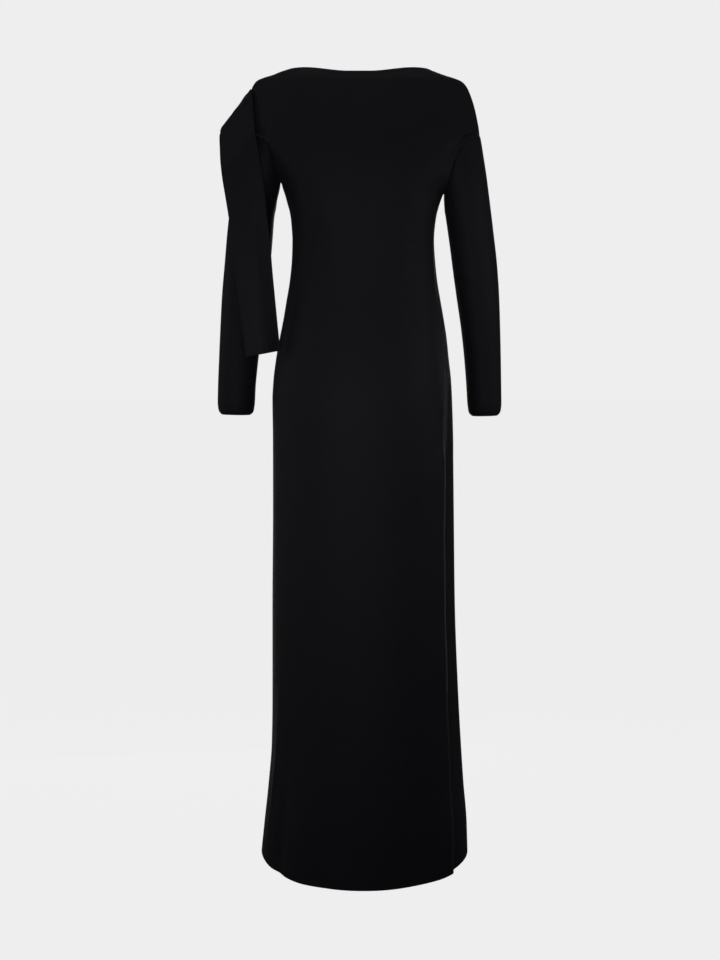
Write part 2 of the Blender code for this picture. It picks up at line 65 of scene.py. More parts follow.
ARMHOLE_DEPTH = 0.052
CAP_FULL = 0.22
ARMHOLE = {
    "right": {"armpit": (0.1496, -0.2205), "shoulder": (0.2145, -0.1165), "bow": 0.0175},
    "left": {"armpit": (-0.1404, -0.2005), "shoulder": (-0.2150, -0.1165), "bow": 0.0260},
}

SHOULDER_COLUMNS = ("share", "right_x", "right_z", "left_x", "left_z")
SHOULDER = (
    (0.00, 0.2145, -0.1165, -0.2150, -0.1165),
    (0.14, 0.2104, -0.0943, -0.2095, -0.0955),
    (0.27, 0.2061, -0.0731, -0.2045, -0.0745),
    (0.36, 0.2023, -0.0590, -0.2000, -0.0605),
    (0.46, 0.1967, -0.0431, -0.1957, -0.0425),
    (0.54, 0.1912, -0.0310, -0.1908, -0.0290),
    (0.62, 0.1822, -0.0212, -0.1826, -0.0190),
    (0.70, 0.1700, -0.0158, -0.1712, -0.0142),
    (0.82, 0.1515, -0.0107, -0.1545, -0.0098),
    (0.91, 0.1358, -0.0055, -0.1406, -0.0048),
    (1.00, 0.1210, 0.0000, -0.1235, 0.0000),
)

OUTLINE_COLUMNS = ("height", "left", "right")
OUTLINE = (
    (-1.4085, -0.1792, 0.1962),
    (-1.3535, -0.1736, 0.1946),
    (-1.2795, -0.1656, 0.1885),
    (-1.2065, -0.1598, 0.1836),
    (-1.1330, -0.1585, 0.1794),
    (-0.9505, -0.1580, 0.1720),
    (-0.7695, -0.1565, 0.1695),
    (-0.6615, -0.1564, 0.1680),
    (-0.5895, -0.1571, 0.1658),
    (-0.5535, -0.1552, 0.1639),
    (-0.5175, -0.1508, 0.1599),
    (-0.4785, -0.1439, 0.1558),
    (-0.4465, -0.1375, 0.1509),
    (-0.4105, -0.1314, 0.1445),
    (-0.3745, -0.1254, 0.1385),
    (-0.3395, -0.1219, 0.1349),
    (-0.3035, -0.1206, 0.1330),
    (-0.2680, -0.1227, 0.1360),
    (-0.2325, -0.1299, 0.1452),
    (-0.2005, -0.1404, 0.1600),
)

SECTION_COLUMNS = (
    "level", "left_z", "right_z", "front_z", "back", "front", "square_back", "square_front",
)
SECTIONS = (
    (-1.4495, -1.4045, -1.4085, -1.3920, 0.1370, 0.1270, 2.22, 2.00),
    (-1.3700, -1.3350, -1.3380, -1.3270, 0.1340, 0.1250, 2.18, 2.02),
    (-1.2700, -1.2450, -1.2470, -1.2400, 0.1300, 0.1215, 2.14, 2.04),
    (-1.1500, -1.1350, -1.1360, -1.1320, 0.1265, 0.1175, 2.14, 2.08),
    (-1.0000, -0.9940, -0.9940, -0.9930, 0.1240, 0.1130, 2.15, 2.10),
    (-0.8500, -0.8480, -0.8480, -0.8480, 0.1230, 0.1100, 2.20, 2.12),
    (-0.7000, -0.7000, -0.7000, -0.7000, 0.1245, 0.1090, 2.22, 2.14),
    (-0.6000, -0.6000, -0.6000, -0.6000, 0.1250, 0.1085, 2.22, 2.15),
    (-0.5200, -0.5200, -0.5200, -0.5200, 0.1160, 0.1070, 2.20, 2.15),
    (-0.4400, -0.4400, -0.4400, -0.4400, 0.0985, 0.1040, 2.20, 2.15),
    (-0.3700, -0.3700, -0.3700, -0.3700, 0.0855, 0.1040, 2.24, 2.15),
    (-0.3200, -0.3200, -0.3200, -0.3180, 0.0835, 0.1090, 2.35, 2.20),
    (-0.2800, -0.2700, -0.2760, -0.2760, 0.0870, 0.1150, 2.60, 2.35),
    (-0.2550, -0.2310, -0.2450, -0.2500, 0.0905, 0.1175, 2.95, 2.60),
    (-0.2350, -0.2005, -0.2205, -0.2300, 0.0930, 0.1185, 3.30, 2.85),
    (-0.1900, -0.2005, -0.2205, -0.1860, 0.0965, 0.1175, 2.95, 2.60),
    (-0.1500, -0.2005, -0.2205, -0.1460, 0.0935, 0.1100, 2.50, 2.40),
    (-0.1050, -0.2005, -0.2205, -0.1020, 0.0860, 0.0980, 2.20, 2.20),
    (-0.0700, -0.2005, -0.2205, -0.0680, 0.0785, 0.0905, 2.20, 2.20),
    (-0.0370, -0.2005, -0.2205, -0.0390, 0.0690, 0.0820, 2.20, 2.20),
    (-0.0105, -0.2005, -0.2205, -0.0170, 0.0570, 0.0740, 2.20, 2.20),
)
UNDER_ARM = -0.2800

SEAM_COLUMNS = ("level", "angle")
SIDE_SEAM = (
    (-1.4495, 0.575), (-1.2700, 0.545), (-1.1000, 0.525), (-0.9000, 0.505), (-0.7000, 0.480),
    (-0.6000, 0.440), (-0.5000, 0.340), (-0.4000, 0.200), (-0.3000, 0.060), (-0.2350, 0.000),
)

RING_COLUMNS = ("step", "inner_x", "inner_z", "outer_x", "outer_z", "depth", "forward", "bow")
SLEEVE_RIGHT = (
    (0.1496, -0.2205, 0.2145, -0.1165, 0.0520, 0.000, 1.00),
    (0.1502, -0.2330, 0.2196, -0.1480, 0.0515, 0.000, 0.55),
    (0.1515, -0.2490, 0.2256, -0.1850, 0.0500, 0.001, 0.20),
    (0.1552, -0.2740, 0.2315, -0.2280, 0.0475, 0.003, 0.00),
    (0.1608, -0.3110, 0.2392, -0.2870, 0.0450, 0.008, 0.00),
    (0.1672, -0.3580, 0.2464, -0.3460, 0.0425, 0.014, 0.00),
    (0.1745, -0.4080, 0.2507, -0.4000, 0.0400, 0.021, 0.00),
    (0.1825, -0.4600, 0.2532, -0.4540, 0.0380, 0.029, 0.00),
    (0.1890, -0.5160, 0.2552, -0.5110, 0.0355, 0.037, 0.00),
    (0.1932, -0.5660, 0.2565, -0.5630, 0.0335, 0.043, 0.00),
    (0.1955, -0.5990, 0.2572, -0.5970, 0.0320, 0.046, 0.00),
    (0.1985, -0.6135, 0.2548, -0.6120, 0.0295, 0.047, 0.00),
    (0.2045, -0.6195, 0.2495, -0.6185, 0.0250, 0.0475, 0.00),
)
SLEEVE_LEFT = (
    (-0.1404, -0.2005, -0.2150, -0.1165, 0.0520, 0.000, 1.00),
    (-0.1436, -0.2160, -0.2190, -0.1460, 0.0515, 0.000, 0.55),
    (-0.1480, -0.2350, -0.2235, -0.1810, 0.0500, 0.001, 0.20),
    (-0.1530, -0.2660, -0.2290, -0.2240, 0.0475, 0.003, 0.00),
    (-0.1565, -0.3080, -0.2368, -0.2850, 0.0450, 0.008, 0.00),
    (-0.1615, -0.3570, -0.2425, -0.3450, 0.0425, 0.014, 0.00),
    (-0.1690, -0.4080, -0.2478, -0.4000, 0.0400, 0.021, 0.00),
    (-0.1765, -0.4600, -0.2513, -0.4540, 0.0380, 0.029, 0.00),
    (-0.1833, -0.5160, -0.2545, -0.5110, 0.0355, 0.037, 0.00),
    (-0.1885, -0.5640, -0.2570, -0.5610, 0.0335, 0.043, 0.00),
    (-0.1905, -0.5970, -0.2580, -0.5950, 0.0320, 0.046, 0.00),
    (-0.1935, -0.6115, -0.2556, -0.6100, 0.0295, 0.047, 0.00),
    (-0.1995, -0.6175, -0.2503, -0.6165, 0.0250, 0.0475, 0.00),
)

SASH_WIDTH = 0.070
SASH_CLEAR = 0.0020
WALL = 0.0015
FOLD_TOP = (-0.1952, -0.0362)
FOLD_TIP = (-0.2522, -0.1100)
FOLD_RUN = 0.070
ROLL_TOP = 0.036
ROLL_TIP = 0.012
ROLL_SPREAD = 0.055
FRONT_SPREAD = 0.056
SASH_END_TOP = (0.1840, -0.0290)
SASH_END_LOW = (0.2075, -0.0980)
SASH_RISE = 0.009
HANG_COLUMNS = ("run", "inner_x", "inner_z", "inner_y", "outer_x", "outer_z", "outer_y", "curl")
HANG = (
    (0.000, -0.1924, -0.0374, 0.046, -0.2500, -0.0420, 0.050, 0.000),
    (0.070, -0.1858, -0.1040, 0.056, -0.2500, -0.1120, 0.052, 0.000),
    (0.110, -0.1795, -0.1440, 0.063, -0.2478, -0.1520, 0.055, 0.000),
    (0.155, -0.1722, -0.1880, 0.068, -0.2422, -0.1965, 0.058, 0.000),
    (0.190, -0.1668, -0.2240, 0.069, -0.2365, -0.2310, 0.060, 0.001),
    (0.230, -0.1628, -0.2640, 0.068, -0.2302, -0.2710, 0.062, 0.002),
    (0.280, -0.1575, -0.3140, 0.066, -0.2246, -0.3210, 0.064, 0.004),
    (0.330, -0.1535, -0.3640, 0.064, -0.2182, -0.3710, 0.066, 0.006),
    (0.380, -0.1490, -0.4130, 0.062, -0.2118, -0.4220, 0.068, 0.008),
    (0.430, -0.1443, -0.4630, 0.061, -0.2058, -0.4720, 0.070, 0.009),
    (0.467, -0.1405, -0.4995, 0.061, -0.2003, -0.5105, 0.071, 0.010),
)

# ---------------------------------------------------------------- how the cloth is finished

CLOTH = 0.0012  # one layer of the crepe
SEAM_SHUT = 0.00004  # how near each sewn edge comes to its seam
HEMMED = 0.0021  # where an edge is turned in and stitched
NECK_BAND = 0.0100  # depth of each turned edge
HEM_BAND = 0.0250
SLIT_BAND = 0.0150
CUFF_BAND = 0.0180
SASH_BAND = 0.0060
SLIT_CURL = 0.0120  # the free edge's last stretch, which turns in
STITCH_PITCH = 0.0031
STITCH_LONG = 0.0023
STITCH_THICK = 0.00032

# distances from an edge at which the cloth gets a row or column of its own
EDGE = np.array((0.0, 0.00015, 0.0005, 0.0011, 0.0020, 0.0032, 0.0048, 0.0068, 0.0092))

SIDE_EDGE = np.concatenate((EDGE, (0.0117, 0.0143, 0.0170, 0.0198)))  # the same for a panel's columns

# Soft folds of the skirt and bodice, each a smooth ridge, or a trough where
# its rise is below 0. They run from their low end up to their high end.
# angle is measured round the body from the right side over the back.
FOLD_COLUMNS = ("low_z", "high_z", "low_angle", "high_angle", "rise", "width")
FOLDS = (
    # back of the skirt
    (-1.60, -1.08, 2.540, 2.480, -0.0050, 0.014),
    (-1.60, -1.04, 2.240, 2.260, 0.0042, 0.026),
    (-1.42, -1.04, 2.800, 2.750, 0.0026, 0.008),
    (-1.60, -1.17, 1.960, 2.040, -0.0016, 0.022),
    (-1.60, -0.98, 1.560, 1.600, 0.0016, 0.034),
    (-1.60, -1.13, 1.060, 1.180, -0.0046, 0.036),
    (-1.60, -1.20, 0.780, 0.840, 0.0018, 0.016),
    (-1.24, -0.72, 1.250, 1.330, 0.0009, 0.030),
    # right side, behind and in front of the slit
    (-1.42, -0.66, 0.150, 0.190, 0.0012, 0.009),
    (-1.60, -0.84, 6.110, 6.160, -0.0016, 0.015),
    (-1.60, -1.02, 5.860, 5.920, 0.0024, 0.022),
    # front of the skirt
    (-1.60, -0.92, 5.330, 5.260, -0.0026, 0.028),
    (-1.60, -1.06, 4.960, 4.930, 0.0030, 0.026),
    (-1.60, -1.20, 4.620, 4.660, -0.0022, 0.020),
    (-1.60, -0.97, 4.300, 4.360, 0.0026, 0.030),
    (-1.60, -1.12, 3.930, 3.960, -0.0030, 0.021),
    (-1.60, -1.03, 3.640, 3.600, 0.0024, 0.024),
    (-1.60, -1.24, 3.360, 3.390, -0.0014, 0.014),
    (-1.00, -0.56, 4.880, 4.800, 0.0008, 0.034),
    # hips and waist
    (-0.64, -0.39, 2.860, 2.900, 0.0010, 0.014),
    (-0.60, -0.40, 0.640, 0.560, -0.0009, 0.013),
    (-0.44, -0.19, 2.350, 2.300, -0.0030, 0.016),
    (-0.40, -0.19, 2.120, 2.060, 0.0012, 0.020),
    (-0.40, -0.24, 0.800, 0.880, -0.0010, 0.014),
    (-0.39, -0.25, 5.500, 5.380, -0.0012, 0.013),
    (-0.41, -0.23, 3.900, 3.990, -0.0011, 0.012),
)

# Drag lines and creases of the bodice, between two places seen square on.
CREASE_COLUMNS = ("side", "x0", "z0", "x1", "z1", "rise", "width")
CREASES = (
    # small of the back
    ("back", -0.118, -0.300, -0.052, -0.322, -0.0009, 0.0055),
    ("back", -0.112, -0.328, -0.030, -0.343, -0.0007, 0.0060),
    ("back", 0.122, -0.296, 0.060, -0.318, -0.0009, 0.0055),
    ("back", 0.126, -0.330, 0.050, -0.338, -0.0006, 0.0060),
    # from the armholes in towards the shoulder blades
    ("back", -0.142, -0.186, -0.098, -0.236, -0.0012, 0.0060),
    ("back", -0.146, -0.164, -0.112, -0.190, -0.0009, 0.0050),
    ("back", 0.152, -0.196, 0.112, -0.244, -0.0011, 0.0060),
    ("back", 0.160, -0.166, 0.130, -0.196, -0.0010, 0.0048),
    # short creases over the right armhole seam
    ("back", 0.2000, -0.1150, 0.1790, -0.1290, -0.0034, 0.0019),
    ("back", 0.1930, -0.1085, 0.1790, -0.1170, -0.0028, 0.0017),
    ("back", 0.1880, -0.1010, 0.1800, -0.1060, -0.0015, 0.0017),
    ("back", 0.1960, -0.1115, 0.1790, -0.1225, 0.0008, 0.0018),
    # the left one's drag line, up beside the sash
    ("back", -0.1615, -0.1260, -0.1720, -0.0760, -0.0013, 0.0026),
    # front of the bodice
    ("front", 0.150, -0.190, 0.088, -0.242, -0.0016, 0.0075),
    ("front", 0.152, -0.222, 0.102, -0.268, 0.0010, 0.0070),
    ("front", -0.142, -0.182, -0.082, -0.238, -0.0015, 0.0075),
    ("front", -0.138, -0.214, -0.094, -0.262, 0.0010, 0.0070),
    ("front", 0.124, -0.318, 0.046, -0.340, -0.0010, 0.0070),
    ("front", -0.114, -0.322, -0.040, -0.346, -0.0010, 0.0070),
    ("front", 0.118, -0.352, 0.020, -0.362, -0.0007, 0.0080),
)

# Creases of a sleeve: step counts down the sleeve's rows, turn goes round it
# from the inner side over the back. Each runs between two such places.
SLEEVE_CREASE_COLUMNS = ("step0", "turn0", "step1", "turn1", "rise", "width")
SLEEVE_CREASES = {
    "right": (
        (0.6, 6.10, 2.0, 5.20, -0.0018, 0.0050),
        (1.0, 0.20, 2.3, 0.95, -0.0015, 0.0048),
        (1.9, 6.20, 3.2, 5.35, 0.0012, 0.0055),
        (4.2, 5.90, 5.2, 4.60, -0.0019, 0.0050),
        (4.9, 6.05, 5.7, 4.75, 0.0017, 0.0050),
        (5.5, 5.95, 6.1, 4.55, -0.0018, 0.0048),
        (6.2, 6.00, 6.7, 4.80, 0.0013, 0.0050),
        (5.1, 0.30, 5.9, 1.30, -0.0008, 0.0050),
        (7.9, 3.40, 9.3, 4.30, -0.0008, 0.0060),
        (0.5, 2.45, 1.6, 2.05, 0.0008, 0.0040),
        (0.4, 2.10, 1.3, 1.72, -0.0008, 0.0036),
    ),
    "left": (
        (0.6, 6.05, 1.9, 5.25, -0.0018, 0.0050),
        (1.1, 0.15, 2.4, 1.00, -0.0016, 0.0048),
        (2.1, 6.25, 3.3, 5.45, 0.0012, 0.0055),
        (4.0, 6.00, 4.9, 4.70, -0.0017, 0.0050),
        (4.7, 5.95, 5.5, 4.60, 0.0018, 0.0050),
        (5.3, 6.05, 6.0, 4.75, -0.0019, 0.0048),
        (6.0, 5.90, 6.6, 4.60, 0.0014, 0.0050),
        (5.4, 0.25, 6.1, 1.20, -0.0008, 0.0050),
        (8.1, 3.30, 9.2, 4.10, -0.0009, 0.0060),
    ),
}


def slopes(x, y):
    h, d = np.diff(x), np.diff(y) / np.diff(x)
    m = np.zeros(len(x))
    m[0], m[-1] = d[0], d[-1]
    for i in range(1, len(x) - 1):
        if d[i - 1] * d[i] > 0:
            w1, w2 = 2 * h[i] + h[i - 1], h[i] + 2 * h[i - 1]
            m[i] = (w1 + w2) / (w1 / d[i - 1] + w2 / d[i])
    return m


class Table:
    """Rows with named columns, read between rows along a smooth curve, at many places at once."""

    def __init__(self, columns, rows):
        data = np.array(sorted(rows, key=lambda row: row[0]), float)
        self.x = data[:, 0]
        self.columns = {name: data[:, i] for i, name in enumerate(columns) if i}
        self.m = {name: slopes(self.x, y) for name, y in self.columns.items()}

    def at(self, name, x):
        x = np.clip(np.asarray(x, float), self.x[0], self.x[-1])
        i = np.clip(np.searchsorted(self.x, x) - 1, 0, len(self.x) - 2)
        h = self.x[i + 1] - self.x[i]
        t = (x - self.x[i]) / h
        y, m = self.columns[name], self.m[name]
        return (
            (1 + 2 * t) * (1 - t) ** 2 * y[i]
            + t * (1 - t) ** 2 * h * m[i]
            + t * t * (3 - 2 * t) * y[i + 1]
            + t * t * (t - 1) * h * m[i + 1]
        )


def smooth(t):
    t = np.clip(t, 0.0, 1.0)
    return t * t * (3 - 2 * t)


def unit(v):
    return v / np.maximum(np.linalg.norm(v, axis=-1, keepdims=True), 1e-12)


SECTION = Table(SECTION_COLUMNS, SECTIONS)
OUTLINES = Table(OUTLINE_COLUMNS, OUTLINE)
SHOULDERS = Table(SHOULDER_COLUMNS, SHOULDER)
SEAMS = Table(SEAM_COLUMNS, SIDE_SEAM)
HANGING = Table(HANG_COLUMNS, HANG)


def oval(inner_x, inner_z, outer_x, outer_z, depth, bow, side, turn, forward=0.0):
    """Points of a sleeve ring: turn 0 is the inner point, a quarter turn the back, a half turn the outer point."""
    dx, dz = outer_x - inner_x, outer_z - inner_z
    long = np.hypot(dx, dz)
    ax, az = dx / long, dz / long
    ux, uz = (-az, ax) if side == "right" else (az, -ax)
    share = (1 - np.cos(turn)) / 2
    lift = bow * np.sin(pi * share**1.5)
    full = 1 - CAP_FULL * np.minimum(bow / 0.0175, 1.0)
    reach = np.sign(np.sin(turn)) * np.abs(np.sin(turn)) ** full
    x = inner_x + dx * share + ux * lift
    z = inner_z + dz * share + uz * lift
    return np.stack(np.broadcast_arrays(x, forward - depth * reach, z), axis=-1)


def armhole(side, turn):
    a = ARMHOLE[side]
    return oval(*a["armpit"], *a["shoulder"], ARMHOLE_DEPTH, a["bow"], side, np.asarray(turn, float))


def row_ends(level):
    """(left x, left z, right x, right z, depth behind the side line) of each row's ends."""
    level = np.asarray(level, float)
    low = level <= ARMPIT_LEVEL
    arm = ~low & (level <= SHOULDER_LEVEL)
    zl, zr = SECTION.at("left_z", level), SECTION.at("right_z", level)
    pit_x, pit_z = ARMHOLE["right"]["armpit"]
    near = smooth((level - UNDER_ARM) / (ARMPIT_LEVEL - UNDER_ARM))
    lx = OUTLINES.at("left", zl)
    rx = OUTLINES.at("right", zr) + near * (pit_x - OUTLINES.at("right", pit_z))
    turn = pi * np.clip((level - ARMPIT_LEVEL) / (SHOULDER_LEVEL - ARMPIT_LEVEL), 0, 1)
    left, right = armhole("left", turn), armhole("right", turn)
    share = np.clip((level - SHOULDER_LEVEL) / (NECK_LEVEL - SHOULDER_LEVEL), 0, 1)
    at = SHOULDERS.at
    pick = lambda a, b, c: np.where(low, a, np.where(arm, b, c))
    return (
        pick(lx, left[..., 0], at("left_x", share)),
        pick(zl, left[..., 2], at("left_z", share)),
        pick(rx, right[..., 0], at("right_x", share)),
        pick(zr, right[..., 2], at("right_z", share)),
        pick(0.0, np.maximum(-left[..., 1], 0.0), 0.0),
    )


def ring(level, angle):
    """Points of the body's rings: angle 0 is the right side, a quarter turn centre back, a half turn the left side."""
    level, angle = np.broadcast_arrays(np.asarray(level, float), np.asarray(angle, float))
    back = np.sin(angle) >= 0
    lx, lz, rx, rz, end_depth = row_ends(level)
    depth = np.where(back, SECTION.at("back", level), SECTION.at("front", level))
    square = np.where(back, SECTION.at("square_back", level), SECTION.at("square_front", level))
    centre_z = np.where(back, level, SECTION.at("front_z", level))
    cut = (1 - (end_depth / depth) ** 2) ** (1 / square)
    half, middle = (rx - lx) / 2 / cut, (rx + lx) / 2
    across = np.cos(angle)
    share = np.clip(across / cut, -1.0, 1.0)
    reach = depth * np.sqrt(np.maximum(1 - np.abs(across) ** square, 0.0))
    end_z = lz + (rz - lz) * (share + 1) / 2
    weight = (reach - end_depth) / (depth - end_depth)
    dip = 0.80 * smooth((0.86 - np.abs(share)) / 0.72)
    weight = weight + smooth((level + 0.05) / (NECK_LEVEL + 0.05)) * (dip - weight)
    z = end_z + (centre_z - end_z) * np.maximum(weight, 0.0)
    return np.stack((middle + half * across, np.where(back, -reach, reach), z), axis=-1)


def end_angle(level, front=False):
    end_depth = row_ends(level)[4]
    depth = SECTION.at("front" if front else "back", level)
    square = SECTION.at("square_front" if front else "square_back", level)
    return np.arccos(np.clip((1 - (end_depth / depth) ** 2) ** (1 / square), -1, 1))


def ring_outward(level, angle):
    lx, _, rx, _, _ = row_ends(level)
    depth = np.where(np.sin(angle) >= 0, SECTION.at("back", level), SECTION.at("front", level))
    return unit(np.stack((np.cos(angle) * 2 / (rx - lx), -np.sin(angle) / depth, np.zeros_like(depth)), axis=-1))


def slit_share(level, top, full):
    return smooth((top - level) / (top - full))


def panel_point(level, angle, front):
    """Points of a panel's outer face, with the slit's lapped edges."""
    seam = SEAMS.at("angle", level)
    open_share = slit_share(level, SLIT_TOP, SLIT_FREE)
    point = ring(level, angle)
    if not front:
        near = smooth(1 - (angle - seam) / 0.22)
        return point + ring_outward(level, angle) * (SLIT_LIFT * near * open_share)[..., None]
    near = smooth((angle - 2 * pi + 0.10) / (seam + 0.05))
    point = point - ring_outward(level, angle) * (SLIT_SINK * near * open_share)[..., None]
    point[..., 2] += LAP_RISE * near * smooth((-1.30 - level) / 0.14) * (open_share > 0)
    return point


# ---------------------------------------------------------------- grids of cloth


def lengths(points, axis):
    """Distance along the cloth from the first row (axis 0) or column (axis 1)."""
    steps = np.linalg.norm(np.diff(points, axis=axis), axis=2)
    zero = np.zeros_like(np.take(steps, [0], axis=axis))
    return np.concatenate((zero, np.cumsum(steps, axis=axis)), axis=axis)


def grid_normals(points, outward, closed=False, rounds=2):
    """A normal at each point of a grid, turned to the side of outward, evened out over its neighbours."""
    if closed:
        across = np.roll(points, -1, axis=1) - np.roll(points, 1, axis=1)
    else:
        across = np.gradient(points, axis=1)
    areas = np.cross(np.gradient(points, axis=0), across)
    for _ in range(rounds):
        for axis in (0, 1):
            if closed and axis == 1:
                areas = 0.5 * areas + 0.25 * (np.roll(areas, 1, axis=1) + np.roll(areas, -1, axis=1))
            else:
                ends = [(1, 1) if a == axis else (0, 0) for a in range(3)]
                wide = np.pad(areas, ends, mode="edge")
                n = areas.shape[axis]
                lower, upper = np.take(wide, range(n), axis=axis), np.take(wide, range(2, n + 2), axis=axis)
                areas = 0.5 * areas + 0.25 * (lower + upper)
    normals = unit(areas)
    return normals if (normals * outward).sum() > 0 else -normals


def placed(start, stop, step):
    """Evenly spaced numbers from start up to but not including stop."""
    count = max(int(round(abs(stop - start) / step)), 1)
    return start + (stop - start) * np.arange(count) / count


def near_polyline(points, line):
    """(distance to a fine polyline, index of its nearest point) for each point."""
    flat = points.reshape(-1, 3)
    out, nearest = np.full(len(flat), np.inf), np.zeros(len(flat), int)
    for i in range(0, len(flat), 4000):
        gap = ((flat[i : i + 4000, None, :] - line[None, :, :]) ** 2).sum(axis=2)
        nearest[i : i + 4000] = gap.argmin(axis=1)
        out[i : i + 4000] = np.sqrt(gap.min(axis=1))
    return out.reshape(points.shape[:2]), nearest.reshape(points.shape[:2])


ARMHOLE_SINK = 0.0024  # how far an armhole seam lies below the cloth beside it
ARMHOLE_DRAWN = 0.0027  # how near the seam the cloth starts to turn in to it


def seam_shows(side, turn):
    """How deep an armhole's seam lies round its turn: the left one fades under the sash."""
    turn = np.asarray(turn, float)
    if side == "right":
        return np.ones(turn.shape)
    return 1 - 0.85 * smooth((turn / pi - 0.40) / 0.16) * smooth((1.5 - turn / pi) / 0.16)


def armhole_inwards(loop):
    """Direction into the garment at each point of an armhole's seam."""
    return -unit(loop - loop.mean(axis=0))


def along_line(u, v, u0, v0, u1, v1):
    """(share along, distance off) of points from a straight line in a plane."""
    du, dv = u1 - u0, v1 - v0
    long = np.hypot(du, dv)
    share = ((u - u0) * du + (v - v0) * dv) / long**2
    off = ((u - u0) * dv - (v - v0) * du) / long
    return share, off


def tapered(share):
    """1 along the middle of a crease, falling to 0 at both ends."""
    return smooth((share + 0.15) / 0.45) * smooth((1.15 - share) / 0.45)


def body_relief(level, angle, points):
    """How far the folds and creases of the bodice and skirt lift the cloth."""
    z = points[..., 2]
    lift = np.zeros(z.shape)
    lx, _, rx, _, _ = row_ends(level)
    around = (rx - lx) / 2 * 0.86  # metres of cloth per unit of angle
    for low_z, high_z, low_a, high_a, rise, width in FOLDS:
        share = (z - low_z) / (high_z - low_z)
        bend = 0.03 * np.sin(3.1 * share + 5 * low_a)  # no fold runs quite straight
        off = (angle - (low_a + (high_a - low_a) * share + bend)) * around
        off = np.where(off > pi * around, off - 2 * pi * around, off)
        off = np.where(off < -pi * around, off + 2 * pi * around, off)
        if low_z < -1.5:  # it runs out through the hem, widest there
            fade = smooth((1 - share) / 0.75) * smooth((share + 0.3) / 0.3)
            wide = width * (0.65 + 0.5 * (1 - np.clip(share, 0, 1)))
        else:
            fade = smooth(share / 0.4) * smooth((1 - share) / 0.5)
            wide = width
        lift += rise * fade * np.exp(-((off / wide) ** 2))
    x = points[..., 0]
    for side, x0, z0, x1, z1, rise, width in CREASES:
        share, off = along_line(x, z, x0, z0, x1, z1)
        bow = 0.12 * np.hypot(x1 - x0, z1 - z0) * np.sin(pi * np.clip(share, 0, 1))
        mask = (np.sin(angle) > 0) if side == "back" else (np.sin(angle) < 0)
        lift += rise * tapered(share) * np.exp(-(((off - bow) / width) ** 2)) * mask
    # The bodice keeps close under the sash.
    return lift * np.where(np.sin(angle) < 0, 1 - 0.75 * smooth((z + 0.15) / 0.04), 1.0)


def seam_dip(distance, deep=0.0011, wide=0.0026):
    """Sewn cloth pulls in along its seam."""
    return -deep * np.exp(-((distance / wide) ** 2)) - 0.35 * deep * np.exp(-((distance / (3.2 * wide)) ** 2))


def turned(distance, band):
    """Extra thickness, on the cloth's inside, of an edge that is turned in by band."""
    return (HEMMED - CLOTH) * smooth((band - distance) / 0.0016 + 0.5)


def stitched(distance, band):
    """How far the outside dips where a turned edge is stitched down, and swells between that and its edge."""
    dip = np.exp(-(((distance - band + 0.0016) / 0.0012) ** 2))
    swell = smooth(distance / 0.0015) * smooth((band - 0.0016 - distance) / 0.0035)
    return 0.00025 * swell - 0.00035 * dip


def rim(distance, thick):
    """Half of the cloth's thickness, rounded off towards an edge."""
    radius = thick / 2
    t = np.clip(distance / radius, 0.0, 1.0)
    return radius * np.sqrt(np.maximum(1 - (1 - t) ** 2, 0.02))


def mesh_object(name, vertices, faces, uvs=None, material=None):
    """An object from arrays: faces is one array of quads, and uvs gives a pair per face corner."""
    mesh = bpy.data.meshes.new(name)
    mesh.vertices.add(len(vertices))
    mesh.vertices.foreach_set("co", np.ascontiguousarray(vertices, dtype=np.float32).ravel())
    mesh.loops.add(faces.size)
    mesh.loops.foreach_set("vertex_index", np.ascontiguousarray(faces, dtype=np.int32).ravel())
    mesh.polygons.add(len(faces))
    mesh.polygons.foreach_set("loop_start", np.arange(0, faces.size, faces.shape[1], dtype=np.int32))
    mesh.update(calc_edges=True)
    mesh.validate()
    if uvs is not None:
        layer = mesh.uv_layers.new(name="cloth")
        layer.data.foreach_set("uv", np.ascontiguousarray(uvs, dtype=np.float32).ravel())
    mesh.shade_smooth()
    if material is not None:
        mesh.materials.append(material)
    made = bpy.data.objects.new(name, mesh)
    bpy.context.scene.collection.objects.link(made)
    return made


